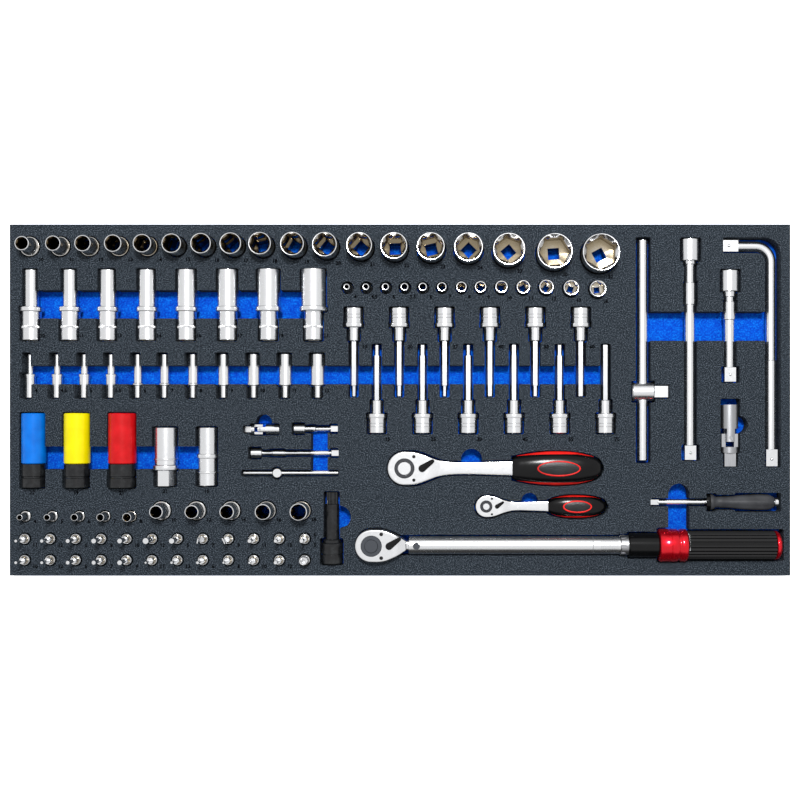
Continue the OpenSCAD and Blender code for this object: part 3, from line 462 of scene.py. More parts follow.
class Finish(Enum):
    """Every finish of the set. The value makes the material."""

    BLACK_FOAM = CutFoam(
        "black_pe_foam", "04060A", "1A2026", "5A636D", cell=1.2, patch=6.0, share=0.05, relief=0.5
    )
    BLUE_FOAM = CutFoam("blue_pe_foam", "001C8C", "0045B4", "0878D8", cell=2.0, patch=7.0, share=0.25)
    STAMP = Moulded("stamped_foam", "020203", "010101", 0.9, 1.0, 0.1, gleam=0.0)
    CHROME = PlatedSteel("satin_chrome")
    # The bored finishes paint shade into their bores by ambient occlusion, over the bores' warm nickel tone.
    BORED_CHROME = PlatedSteel("bored_satin_chrome", hollow="A09278", roughness=0.18, reach=20.0)
    SMALL_BORES = PlatedSteel("small_bored_chrome", hollow="B8AC94", roughness=0.18, reach=7.0)
    GREY_STEEL = GroundSteel("ground_steel")
    DARK_STEEL = GroundSteel("oiled_drive_steel", colour="3C3D40", along=(1.0, 1.0, 1.0))
    BUTTON_STEEL = GroundSteel("blued_button_steel", colour="4A4D52", along=(1.0, 1.0, 1.0))
    PHOSPHATE = BlackPhosphate("black_phosphated_steel")
    BLACK_OXIDE = BlackPhosphate("black_oxide_screw", "070708", "101011")
    BLACK_ABS = Moulded("black_abs", "08090A", "050506", 0.16, 0.9, 0.02, gleam=0.22)
    GLOSSY_ABS = Moulded("glossy_black_abs", "050506", "030304", 0.1, 0.9, 0.01, gleam=0.45)
    BLACK_RUBBER = Moulded("black_tpr_rubber", "070708", "040405", 0.2, 0.8, 0.03, gleam=0.2)
    PAD_RUBBER = Moulded("textured_rubber_pad", "1C1D1F", "101113", 0.35, 1.1, 0.4, gleam=0.25)
    RED_RUBBER = Moulded("red_tpr_rubber", "D3201B", "B3140F", 0.4, 0.9, 0.05)
    RED_ANODISED = Anodised("red_anodised_aluminium", "D0021B")
    BLUE_PVC = Moulded("blue_polyamide", "0064C0", "0058B0", 0.26, 1.2, 0.02, gleam=0.2)
    YELLOW_PVC = Moulded("yellow_polyamide", "D4C600", "CABC00", 0.26, 1.2, 0.02, gleam=0.2)
    RED_PVC = Moulded("red_polyamide", "B40E14", "A4080C", 0.26, 1.2, 0.02, gleam=0.2)
    GREY_PP = Moulded("grey_polypropylene", "37383B", "2A2B2E", 0.5, 1.0, 0.12)

    def material(self) -> bpy.types.Material:
        """This finish's material, made once."""
        found = bpy.data.materials.get(self.value.name)
        return found or self.value.material()


# ---------------------------------------------------------------- pieces


def piece(
    name: str, shell: Shell, body: str, finish: Finish, sharp: float = 35.0
) -> bpy.types.Object:
    """Makes a mesh object that rides on a body of the frame.

    Args:
        name: The object's name.
        shell: Vertices in millimetres in the row frame, and faces.
        body: The frame body it rides on.
        finish: The finish it wears.
        sharp: Edges that bend by more than this many degrees stay sharp.

    Returns:
        The object.
    """
    vertices, faces = shell
    mesh = bpy.data.meshes.new(name)
    mesh.from_pydata((vertices * MM).tolist(), [], faces)
    mesh.validate()
    mesh.materials.append(finish.material())
    mesh.shade_smooth()
    mesh.set_sharp_from_angle(angle=math.radians(sharp))
    mesh.update()
    made = bpy.data.objects.new(name, mesh)
    bpy.context.scene.collection.objects.link(made)
    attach(made, body)
    LOG.info("%s: %d vertices on %s", name, len(vertices), body)
    return made


def moved(shell: Shell, offset: Sequence[float]) -> Shell:
    """The shell moved by an offset in millimetres."""
    return shell[0] + np.array(offset, dtype=float), shell[1]


def along_y(shell: Shell, offset: Sequence[float]) -> Shell:
    """A shell made about X, laid along +Y (X to Y, Y to -X) and moved by an offset."""
    x, y, z = shell[0].T
    return moved((np.stack([-y, x, z], axis=1), shell[1]), offset)


def corners(node: str) -> tuple[Points, Points]:
    """Lowest and highest corner of a frame node in millimetres."""
    low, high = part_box(node)
    return np.array(low) / MM, np.array(high) / MM


def groups(points: Points, axis: int, gap: float) -> list[Points]:
    """Splits points wherever their sorted places along an axis leave more than `gap` free."""
    order = points[np.argsort(points[:, axis])]
    cuts = np.nonzero(np.diff(order[:, axis]) > gap)[0] + 1
    return np.split(order, cuts)


def points_of(node: str) -> Points:
    """The frame node's vertices in millimetres."""
    mesh = bpy.data.objects[node].data
    flat = np.empty(len(mesh.vertices) * 3)
    mesh.vertices.foreach_get("co", flat)
    return flat.reshape(-1, 3) / MM


def tools_of(node: str, gap: float = 2.0) -> list[tuple[Points, Points]]:
    """Lowest and highest corner of each tool of a row, from left to right, in millimetres."""
    return [(g.min(axis=0), g.max(axis=0)) for g in groups(points_of(node), 0, gap)]


def dress(node: str, finish: Finish) -> None:
    """Gives a frame node a finish."""
    mesh = bpy.data.objects[node].data
    mesh.materials.clear()
    mesh.materials.append(finish.material())


@dataclass(frozen=True)
class Numerals:
    """Sizes stamped into the foam beside each tool."""

    height: float = 4.2
    rise: float = 0.12

    def outline(self, text: str, x: float, y: float, z: float) -> Shell:
        """The text as a thin plate of flat letters with its centre at x, y.

        Args:
            text: The digits.
            x: Centre along X in millimetres.
            y: Centre along Y in millimetres.
            z: Height of the foam's face in millimetres.

        Returns:
            The plate's vertices and faces.
        """
        curve = bpy.data.curves.new("numeral", "FONT")
        curve.body = text
        curve.size = self.height * 1.35
        curve.resolution_u = 2
        curve.extrude = self.rise
        curve.offset = 0.22
        curve.align_x = "CENTER"
        curve.align_y = "CENTER"
        holder = bpy.data.objects.new("numeral", curve)
        mesh = holder.to_mesh()
        flat = np.empty(len(mesh.vertices) * 3)
        mesh.vertices.foreach_get("co", flat)
        faces = [tuple(p.vertices) for p in mesh.polygons]
        holder.to_mesh_clear()
        bpy.data.objects.remove(holder)
        bpy.data.curves.remove(curve)
        return moved((flat.reshape(-1, 3), faces), (x, y, z))

    def build(self, marks: Sequence[tuple[str, float, float]], z: float) -> bpy.types.Object:
        """All marks as one piece on the foam."""
        return piece(
            "size_marks", joined([self.outline(t, x, y, z) for t, x, y in marks]), "tray",
            Finish.STAMP
        )


@dataclass
class Inlay:
    """The two foam layers and the sizes stamped beside the pockets."""

    deep: tuple[int, ...] = (10, 11, 13, 14, 16, 17, 19, 21)
    quarter_deep: tuple[str, ...] = ("4", "4.5", "5", "5.5", "6", "7", "8", "9", "10", "11", "12")
    impact: tuple[int, ...] = (17, 19, 21)
    plug: tuple[int, ...] = (21, 16)
    stars: tuple[int, ...] = (4, 5, 6, 7, 8)
    big_stars: tuple[int, ...] = (10, 12, 14, 16, 18)
    bits: tuple[int, ...] = (10, 15, 20, 25, 27, 30, 40, 45, 50, 55, 60, 70)
    numerals: Numerals = Numerals()

    def build(self) -> None:
        """Dresses both layers and stamps the numerals."""
        dress("foam_top", Finish.BLACK_FOAM)
        dress("foam_base", Finish.BLUE_FOAM)
        face = corners("foam_top")[1][2]
        marks: list[tuple[str, float, float]] = []
        rows: list[tuple[str, Sequence[object], float, float]] = [
            ("half_sockets", HEXAGONS, 13.0, -4.0),
            ("quarter_sockets", SMALL_HEXAGONS, 9.0, -4.5),
            ("half_deep_sockets", self.deep, 14.5, 5.0),
            ("quarter_deep_sockets", self.quarter_deep, 11.5, 8.0),
            ("impact_sockets", self.impact, 0.0, -6.0),
            ("plug_sockets", self.plug, 0.0, -6.0),
            ("quarter_star_sockets", self.stars, 11.0, 0.0),
            ("half_star_sockets", self.big_stars, 14.0, 0.0),
            ("bit_socket_holders", self.bits, 12.5, -7.0),
        ]
        for node, sizes, right, below in rows:
            for size, (low, high) in zip(sizes, tools_of(node)):
                marks.append((str(size), (low[0] + high[0]) / 2 + right, low[1] + below))
        for low, high in tools_of("short_bit_holders"):
            for y in (low[1], (low[1] + high[1]) / 2 + 6.0):
                marks.append((str(5 + len(marks) % 9), (low[0] + high[0]) / 2 + 11.5, y - 1.5))
        self.numerals.build(marks, face)


@dataclass(frozen=True)
class KnurledBand:
    """A rolled band of small diamonds round a socket, which gives wet fingers a hold."""

    width: float = 4.0
    proud: float = 0.45
    sunk: float = 0.3
    teeth: int = 40

    def shell(self, radius: float) -> Shell:
        """Radius over angle a and place u along X: two rolled waves crossed, fading out at both edges.

        r(a, u) = radius - sunk
            + (proud + sunk) * edge(u) * (0.6 + 0.4 * cos(teeth a + 3u) * cos(teeth a - 3u))

        Args:
            radius: The socket's radius under the band.

        Returns:
            The band about X, centred on the origin, closed along its inside.
        """
        a = np.linspace(0, 2 * np.pi, self.teeth * 4, endpoint=False)[:, None]
        u = np.linspace(-1, 1, 9)
        edge = 1 - np.abs(u) ** 6
        wave = 0.6 + 0.4 * np.cos(self.teeth * a + 3 * u) * np.cos(self.teeth * a - 3 * u)
        r = radius - self.sunk + (self.proud + self.sunk) * edge * wave
        x = u * self.width / 2 + 0 * a
        outer = np.stack([x, r * np.cos(a), r * np.sin(a)], axis=-1)
        return grid_shell(np.concatenate([outer, outer[:, ::-1] * (1, 0.9, 0.9)], axis=1), True, True)


@dataclass(frozen=True)
class Upright:
    """A socket that stands on its drive end, as one closed surface over angle and a path.

    The path climbs the outside, crosses the rim and goes down the bore. Each of its stations has a
    height and a radius over the angle a: a circle r(a) = r, a polygon of n flats
    r(a) = across / 2 / cos(a mod 360 / n - 180 / n), or a star r(a) = across * (0.445 + 0.055 cos 6 a).
    """

    across: float
    square: float
    turn: float
    star: bool = False
    rim: float = 0.8
    around: int = 96

    def polygon(self, angle: Points, across: float, sides: int, shift: float = 0.0) -> Points:
        """Radius of a regular polygon over the angle, with a corner at `shift`."""
        step = 2 * np.pi / sides
        return across / 2 / np.cos(np.mod(angle - shift, step) - step / 2)

    def mouth(self, angle: Points) -> Points:
        """Radius of the working opening over the angle."""
        if self.star:
            return self.across * (0.445 + 0.055 * np.cos(6 * angle))
        return self.polygon(angle, self.across, 6)

    def shell(self, low: float, high: float, drive: float, top: float, shoulder: float) -> Shell:
        """The socket about its own axis.

        Args:
            low: Height of its foot.
            high: Height of its rim.
            drive: Radius of the drive end.
            top: Radius of the mouth end.
            shoulder: Height where the radius changes.

        Returns:
            The closed shell.
        """
        a = np.linspace(0, 2 * np.pi, self.around, endpoint=False)
        one = np.ones_like(a)
        mouth, hole = self.mouth(a), self.polygon(a, self.square, 4, np.pi / 4)
        k = self.rim
        floor = low + 0.44 * (high - low)
        path = [(drive * one - k, low), (drive * one, low + k)]
        if top < drive - 0.4:
            step = drive - top
            path += [(drive * one, shoulder - 0.9 * k), (drive * one - 0.3 * k, shoulder - 0.3 * k),
                     (drive * one - k, shoulder), (top + 0.45 * (step - k) * one, shoulder + 0.35 * step),
                     (top + 0.12 * (step - k) * one, shoulder + 0.8 * step),
                     (top * one, shoulder + 1.3 * step)]
        path += [(top * one, high - k), (top * one - 0.3 * k, high - 0.3 * k), (top * one - 0.8 * k, high),
                 (top * one - 1.4 * k, high - 0.05 * k)]
        narrow = self.across < self.square + 2
        neck = (0.4 * min(self.across, self.square)) * one if narrow else hole
        path += [(0.5 * (top - 1.4 * k) + 0.5 * mouth, high - 2.2 * k),
                 (mouth, high - 4.6 * k), (mouth, floor + 1.2),
                 (0.3 * mouth + 0.7 * neck, floor + 0.2), (neck, floor - 0.3), (neck, floor - 1.2),
                 (hole, floor - 1.6), (hole, low)]
        turn = a + math.radians(self.turn)
        points = np.stack(
            [np.stack([r * np.cos(turn), r * np.sin(turn), 0 * a + z], axis=-1) for r, z in path]
        )
        return grid_shell(points, True, True)


@dataclass(frozen=True)
class BitHolder:
    """The plated holder of a short bit: a round drive end whose top is hollowed in a cove round the bit."""

    square: float = 6.45
    stem: float = 3.3
    around: int = 48

    def shell(self, low: float, high: float, radius: float) -> Shell:
        """Stations (radius, height) turned about the axis; the last ones open into the square."""
        a = np.linspace(0, 2 * np.pi, self.around, endpoint=False)
        one = np.ones_like(a)
        hole = self.square / 2 / np.cos(np.mod(a - np.pi / 4, np.pi / 2) - np.pi / 4)
        path = [(radius * one - 0.6, low), (radius * one, low + 0.6), (radius * one, high - 0.8),
                (radius * one - 0.25, high - 0.25), (radius * one - 0.6, high),
                (radius * one - 1.0, high - 0.1), (radius * one - 1.6, high - 1.2),
                (4.0 * one, high - 2.4), (self.stem * one, high - 2.6), (self.stem * one, low + 8.0),
                (hole, low + 7.8), (hole, low)]
        points = np.stack([np.stack([r * np.cos(a), r * np.sin(a), 0 * a + z], axis=-1) for r, z in path])
        return grid_shell(points, True, True)


@dataclass
class UprightRow:
    """A row of standing sockets whose radii and heights come from the frame."""

    node: str
    body: str
    across: tuple[float, ...]
    turns: tuple[float, ...]
    square: float
    rim: float
    star: bool = False
    finish: Finish = Finish.BORED_CHROME

    def build(self) -> None:
        """Measures every tool of the row and builds its surface."""
        shells = []
        for points, across, turn in zip(groups(points_of(self.node), 0, 2.0), self.across, self.turns):
            low, high = points.min(axis=0), points.max(axis=0)
            middle = (low + high) / 2
            radii = np.hypot(points[:, 0] - middle[0], points[:, 1] - middle[1])
            z = points[:, 2]
            drive = float(radii[z < low[2] + 3].max())
            top = float(radii[z > high[2] - 3].max())
            outer = radii > max(drive, top) - 0.05
            shoulder = float(z[outer].max()) if top < drive - 0.4 else float(high[2])
            socket = Upright(across, self.square, turn, self.star, self.rim)
            shells.append(
                moved(socket.shell(low[2], high[2], drive, top, shoulder), (middle[0], middle[1], 0))
            )
        row = piece(f"{self.node}_forged", joined(shells), self.body, self.finish)
        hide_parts(self.node)


HALF_SQUARE, QUARTER_SQUARE = 12.8, 6.45
HEXAGONS = (10, 11, 12, 13, 14, 15, 16, 17, 18, 19, 20, 21, 22, 23, 24, 27, 30, 32)
SMALL_HEXAGONS = (4, 4.5, 5, 5.5, 6, 7, 8, 9, 10, 11, 12, 13, 14)
UPRIGHT_ROWS = (
    UprightRow(
        "half_sockets", "socket_row", HEXAGONS,
        (10, 80, 25, 50, 5, 70, 33, 40, 15, 60, 50, 48, 2, 14, 45, 40, 4, 28), HALF_SQUARE, 0.8,
    ),
    UprightRow(
        "quarter_sockets", "small_socket_row", SMALL_HEXAGONS, tuple(23.0 * i for i in range(13)),
        QUARTER_SQUARE, 0.8, finish=Finish.SMALL_BORES,
    ),
    UprightRow(
        "quarter_star_sockets", "star_set", (4.4, 5, 5.8, 6.4, 7.8), (0,) * 5, QUARTER_SQUARE, 0.5,
        star=True, finish=Finish.SMALL_BORES,
    ),
    UprightRow(
        "half_star_sockets", "star_set", (11.4, 11.8, 12.4, 14, 15.6), (0, 20, 40, 60, 80), HALF_SQUARE,
        0.8, star=True,
    ),
)


@dataclass
class SocketRows:
    """Loose sockets of every row: plated skins and the knurled bands near their drive ends."""

    band: KnurledBand = KnurledBand()

    def bands(self, node: str, body: str, from_drive: float, radius: float, reach: float) -> None:
        """Adds a band to every tool of a row that lies along Y.

        Args:
            node: The row's node.
            body: The body the row rides on.
            from_drive: Distance of the band from the drive end, negative if that end is at +Y.
            radius: Radius of the drive part.
            reach: Width of the row's tools along X that separates them.
        """
        shells = []
        for low, high in tools_of(node, reach):
            y = (low[1] if from_drive > 0 else high[1]) + from_drive
            z = (low[2] + high[2]) / 2
            shells.append(along_y(self.band.shell(radius), ((low[0] + high[0]) / 2, y, z)))
        piece(node + "_knurling", joined(shells), body, Finish.CHROME, sharp=60)

    def collar(self, radius: float, width: float) -> Shell:
        """A plain rounded ring about X."""
        half = width / 2
        return turned(
            rounded([(-half, radius), (half, radius), (half, radius - 3), (-half, radius - 3)], 0.5)
        )

    def collars(self) -> None:
        """Rings of the spark plug sockets, the deep sockets and the long bit holders."""
        rings = []
        for (low, high), places in zip(
            tools_of("plug_sockets", 4.0),
            (((20.6, 5.0, 0.9), (30.0, 1.6, 0.3)), ((33.5, 4.6, 0.9), (15.0, 2.0, 0.3)))
        ):
            middle = (low + high) / 2
            for at, width, proud in places:
                rings.append(
                    along_y(
                        self.collar((high[2] - low[2]) / 2 + proud, width),
                        (middle[0], low[1] + at, middle[2]),
                    )
                )
        piece("plug_socket_rings", joined(rings), "plug_set", Finish.CHROME)
        rings = []
        for low, high in tools_of("half_deep_sockets", 4.0):
            middle, radius = (low + high) / 2, (high[2] - low[2]) / 2
            rings.append(along_y(self.collar(radius + 0.8, 4.8), (middle[0], low[1] + 35.2, middle[2])))
        piece("deep_socket_rings", joined(rings), "deep_socket_row", Finish.CHROME)
        rings = []
        rows = groups(points_of("bit_socket_holders"), 1, 15.0)
        for points in [tool for row in rows for tool in groups(row, 0, 4.0)]:
            low, high = points.min(axis=0), points.max(axis=0)
            middle = (low + high) / 2
            wide = points[np.abs(points[:, 0] - middle[0]) > (high[0] - low[0]) / 2 - 1.2]
            down = float(wide[:, 1].mean()) < middle[1]
            end, way = (low[1], 1) if down else (high[1], -1)
            radius = (high[0] - low[0]) / 2
            for at, width, proud in ((19.6, 4.6, 0.5), (11.2, 1.0, 0.0), (7.6, 1.0, 0.0)):
                rings.append(
                    along_y(self.collar(radius + proud, width), (middle[0], end + way * at, middle[2]))
                )
        piece("bit_holder_rings", joined(rings), "long_bit_sockets", Finish.CHROME)

    def build(self) -> None:
        """Builds the standing rows, dresses the others, and adds rings and knurled bands."""
        for node in (
            "half_deep_sockets", "quarter_deep_sockets", "bit_socket_holders", "plug_sockets", "bit_adapter"
        ):
            dress(node, Finish.CHROME)
        for row in UPRIGHT_ROWS:
            row.build()
        holder = BitHolder()
        shells = []
        for column in groups(points_of("short_bit_holders"), 0, 4.0):
            for points in groups(column, 1, 8.0):
                low, high = points.min(axis=0), points.max(axis=0)
                middle = (low + high) / 2
                shells.append(
                    moved(holder.shell(low[2], high[2], (high[0] - low[0]) / 2), (middle[0], middle[1], 0))
                )
        holders = piece(
            "short_bit_holders_turned", joined(shells), "short_bit_sockets",
            Finish.SMALL_BORES
        )
        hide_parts("short_bit_holders")
        self.collars()
        dress("bit_socket_blades", Finish.GREY_STEEL)
        dress("short_bit_blades", Finish.CHROME)
        for node in ("impact_sockets", "spline_bit"):
            dress(node, Finish.PHOSPHATE)
        dress("sleeve_blue", Finish.BLUE_PVC)
        dress("sleeve_yellow", Finish.YELLOW_PVC)
        dress("sleeve_red", Finish.RED_PVC)
        self.bands("half_deep_sockets", "deep_socket_row", 15.0, 10.48, 4.0)


@dataclass
class PlateHead:
    """A reversible head: a pear-shaped plate bored for its drive, thinning into the neck."""

    radius: float
    thickness: float
    neck_thickness: float
    bore: float
    flank: tuple[tuple[float, float], ...]
    thin_from: float
    edge: float = 1.8

    def outline(self) -> Points:
        """Points round the plate: a half circle behind the drive, the flank's curve, and the neck's end."""
        back = np.linspace(np.pi, np.pi / 2, 28, endpoint=False)
        x = np.linspace(self.flank[0][0], self.flank[-1][0], 40)
        w = through(x, self.flank)
        end = np.linspace(w[-1] - 0.8, 0, 6)
        upper = np.vstack([
            np.stack([self.radius * np.cos(back), self.radius * np.sin(back)], axis=1),
            np.stack([x, w], axis=1),
            np.stack([np.full(6, x[-1] + 0.4), end], axis=1),
        ])
        lower = upper[-2:0:-1] * (1, -1)
        return np.vstack([upper, lower])

    def half_height(self, x: Points) -> Points:
        """Half the plate's thickness at x: full over the drive, easing down to the neck's."""
        u = np.clip((x - self.thin_from) / (self.flank[-1][0] - self.thin_from), 0, 1)
        return (self.thickness + (self.neck_thickness - self.thickness) * u * u * (3 - 2 * u)) / 2

    def shell(self) -> Shell:
        """A closed profile carried round the outline.

        Along each ray from the drive's axis the profile runs up the bore, out over the face, round the rim
        as a quarter circle of radius `edge`, and back below as the mirror image.

        Returns:
            The bored plate about its own drive axis.
        """
        rim = self.outline()
        reach = np.hypot(rim[:, 0], rim[:, 1])[:, None]
        ray = rim / reach
        ray = ray[:, None, :]
        face = np.linspace(0, 1, 10)
        bend = np.linspace(0, np.pi / 2, 6)[1:]
        rho = np.hstack([
            np.full_like(reach, self.bore),
            self.bore + 0.5 + (reach - self.edge - self.bore - 0.5) * face,
            reach - self.edge + self.edge * np.sin(bend),
        ])
        high = self.half_height(rho * ray[:, :, 0])
        drop = np.concatenate([[0.5], np.zeros(10), self.edge * (1 - np.cos(bend))])
        upper = np.dstack([rho[..., None] * ray, (high - drop)[..., None]])
        lower = upper[:, ::-1] * (1, 1, -1)
        return grid_shell(np.concatenate([upper, lower], axis=1), True, True)


@dataclass(frozen=True)
class ScrewHeads:
    """The low domed heads of a cover's two screws, each with a hexagon recess."""

    radius: float
    rise: float = 0.5

    def shell(self) -> Shell:
        """Rays from the middle: a hexagon floor just above the cover, its wall, then the dome out to the rim.

        The recess's radius over the angle is that of a hexagon, r(a) = across / 2 / cos(a mod 60 - 30).

        Returns:
            The closed head about Z, its rim at z = 0.
        """
        a = np.linspace(0, 2 * np.pi, 48, endpoint=False)
        six = 0.4 * self.radius / np.cos(np.mod(a, np.pi / 3) - np.pi / 6)
        rings = [(0.5 * six, 0.05), (six, 0.05), (six, self.rise),
                 (0.8 * self.radius + 0 * a, self.rise * 0.9),
                 (self.radius + 0 * a, 0.0), (self.radius + 0 * a, -1.0)]
        points = np.stack([np.stack([r * np.cos(a), r * np.sin(a), 0 * a + z], axis=-1) for r, z in rings])
        return capped(points[::-1])


@dataclass
class Lever:
    """A reversing lever: a round boss with a ridged arm."""

    boss: float
    reach: float
    height: float
    turn: float = 35.0

    def shell(self) -> Shell:
        """Rays from the boss's axis to the hull of two circles, with a crowned top.

        Height over the share u of each ray is height * (1 - u^6), and the arm carries a rounded ridge.

        Returns:
            The closed lever with its foot at z = 0, turned to its rest place.
        """
        tip = self.boss * 0.55
        a = np.linspace(-np.pi, np.pi, 96, endpoint=False)
        tangent = math.acos((self.boss - tip) / self.reach)
        touch = math.atan2(tip * math.sin(tangent), self.reach + tip * math.cos(tangent))
        b = np.abs(a)
        far = self.reach * np.cos(b) + np.sqrt(np.maximum(tip**2 - (self.reach * np.sin(b)) ** 2, 0))
        edge = np.where(b >= tangent, self.boss, np.where(b <= touch, far, self.boss / np.cos(b - tangent)))
        u = np.array([0.02, 0.3, 0.55, 0.75, 0.88, 0.96, 1.0])[:, None]
        x, y = u * edge * np.cos(a), u * edge * np.sin(a)
        ridge = 0.9 * np.exp(-((y / (0.45 * tip)) ** 2)) * np.clip(x / self.reach, 0, 1)
        z = self.height * (0.55 + 0.45 * (1 - u**6)) + ridge * (1 - u**8)
        top = np.stack([x, y, z], axis=-1)
        foot = np.stack([edge * np.cos(a), edge * np.sin(a), 0 * a], axis=-1)[None]
        shell = capped(np.concatenate([top, foot], axis=0)[::-1])
        t = math.radians(self.turn)
        c, s = math.cos(t), math.sin(t)
        return shell[0] @ np.array([[c, s, 0], [-s, c, 0], [0, 0, 1]]), shell[1]


@dataclass
class Grip:
    """A two-colour moulded grip: black core, red side strips and a red oval round a textured pad."""

    width: tuple[tuple[float, float], ...]
    depth: tuple[tuple[float, float], ...]
    oval_at: float
    oval_long: float
    oval_wide: float
    power: float = 2.5

    def section(self, x: Points, angle: Points, grow: float = 0.0) -> Points:
        """Points of the superellipse section at x and angle, `grow` outside the core's skin."""
        y, z = oval(angle, self.power)
        return np.stack(
            [x + 0 * y, (through(x, self.width) + grow) * y, (through(x, self.depth) + grow) * z], axis=-1
        )

    def core(self) -> Shell:
        """Superellipse sections from the collar to the rounded tail."""
        u = np.linspace(0, 1, 90)
        first, last = self.width[0][0], self.width[-1][0]
        x = (first + (last - first) * (3 * u - u**3) / 2)[:, None]
        return capped(self.section(x, np.linspace(0, 2 * np.pi, 72, endpoint=False)[None, :]))

    def strip(self, side: int) -> Shell:
        """A crescent round one side: its half angle along its length is 0.62 * sqrt(sin(pi u)) radians."""
        first, last = self.width[0][0], self.width[-1][0]
        u = np.linspace(0.001, 0.999, 60)[:, None]
        x = first + (last - first) * (0.05 + 0.86 * u)
        half = 0.62 * np.sqrt(np.sin(np.pi * u)) + 0.01
        v = np.linspace(-1, 1, 17)[None, :]
        angle = half * v + (0 if side > 0 else np.pi)
        rise = 0.35 * (1 - v**6)
        outer = self.section(x, angle, 0.0)
        outer[..., 1] += side * rise
        inner = self.section(x, angle, -1.2)
        ring = np.concatenate([outer, inner[:, ::-1]], axis=1)
        return capped(ring)

    def height(self, x: Points, y: Points) -> Points:
        """The core's height over (x, y): depth * (1 - |y / width|^power)^(1 / power)."""
        share = np.clip(np.abs(y) / through(x, self.width), 0, 0.999)
        return through(x, self.depth) * (1 - share**self.power) ** (1 / self.power)

    def ring(self, side: int) -> Shell:
        """A half-round bead swept along an ellipse on the core's skin."""
        a = np.linspace(0, 2 * np.pi, 96, endpoint=False)[:, None]
        b = np.linspace(0, 2 * np.pi, 10, endpoint=False)[None, :]
        bead = 0.85
        x = self.oval_at + (self.oval_long + bead * np.cos(b)) * np.cos(a)
        y = (self.oval_wide + bead * np.cos(b)) * np.sin(a)
        z = self.height(x, y) + 0.55 * np.sin(b)
        return grid_shell(np.stack([x, y, side * z], axis=-1), True, True)

    def pad(self, side: int) -> Shell:
        """A low cushion inside the ring, 0.3 mm proud in its middle."""
        a = np.linspace(0, 2 * np.pi, 72, endpoint=False)[None, :]
        u = np.linspace(0.02, 1, 12)[:, None]
        x = self.oval_at + (self.oval_long - 0.6) * u * np.cos(a)
        y = (self.oval_wide - 0.6) * u * np.sin(a)
        top = np.stack([x, y, side * (self.height(x, y) + 0.3 * (1 - u**4))], axis=-1)
        foot = top[-1:] - np.array([0, 0, side * 1.0])
        return capped(np.concatenate([top, foot], axis=0))


def bar(knots: Sequence[tuple[float, float, float]], power: float) -> Shell:
    """A forged bar along X: superellipse sections through (x, half width, half thickness) knots."""
    table = [tuple(k) for k in knots]
    x = np.linspace(table[0][0], table[-1][0], 70)[:, None]
    y, z = oval(np.linspace(0, 2 * np.pi, 48, endpoint=False)[None, :], power)
    wide = through(x, [(k[0], k[1]) for k in table])
    deep = through(x, [(k[0], k[2]) for k in table])
    return capped(np.stack([x + 0 * y, wide * y, deep * z], axis=-1))


@dataclass
class Ratchet:
    """A ratchet handle lying flat: head, shank, grip, inlays, lever, drive and button."""

    name: str
    head: PlateHead
    shank: tuple[tuple[float, float, float], ...]
    grip: Grip
    lever: Lever
    lever_at: float
    screws: ScrewHeads
    screws_at: tuple[float, float]

    def place(self) -> Points:
        """The drive's axis in the middle plane of the head, in millimetres."""
        low, high = corners(f"{self.name}_ratchet_body")
        drive_low, drive_high = corners(f"{self.name}_ratchet_drive")
        middle = (drive_low + drive_high) / 2
        return np.array([middle[0], middle[1], (low[2] + high[2]) / 2])

    def build(self) -> None:
        """Makes the visible pieces and dresses the nodes that stay."""
        at = self.place()
        body = f"{self.name}_ratchet"
        steel = piece(
            f"{body}_forging", joined([moved(self.head.shell(), at), moved(bar(self.shank, 8), at)]),
            body, Finish.CHROME,
        )
        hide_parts(f"{body}_body")
        core = piece(
            f"{body}_grip_core", moved(self.grip.core(), at), body, Finish.BLACK_RUBBER
        )
        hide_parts(f"{body}_grip")
        red = [self.grip.strip(1), self.grip.strip(-1), self.grip.ring(1), self.grip.ring(-1)]
        inlays = piece(
            f"{body}_red_inlays", moved(joined(red), at), body, Finish.RED_RUBBER, sharp=50
        )
        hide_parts(f"{body}_inlays")
        piece(
            f"{body}_pads", moved(joined([self.grip.pad(1), self.grip.pad(-1)]), at), body,
            Finish.PAD_RUBBER,
        )
        top = self.head.thickness / 2 + 0.4
        lever = piece(
            f"{body}_lever_arm", moved(self.lever.shell(), at + np.array([self.lever_at, 0, top])),
            f"{self.name}_lever", Finish.BLACK_ABS,
        )
        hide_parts(f"{body}_lever")
        along, across = self.screws_at
        heads = [
            moved(self.screws.shell(), at + (along, side * across, self.head.thickness / 2))
            for side in (1, -1)
        ]
        screws = piece(f"{body}_screw_heads", joined(heads), body, Finish.BLACK_OXIDE)
        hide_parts(f"{body}_screws")
        dress(f"{body}_drive", Finish.DARK_STEEL)
        dress(f"{body}_button", Finish.CHROME)


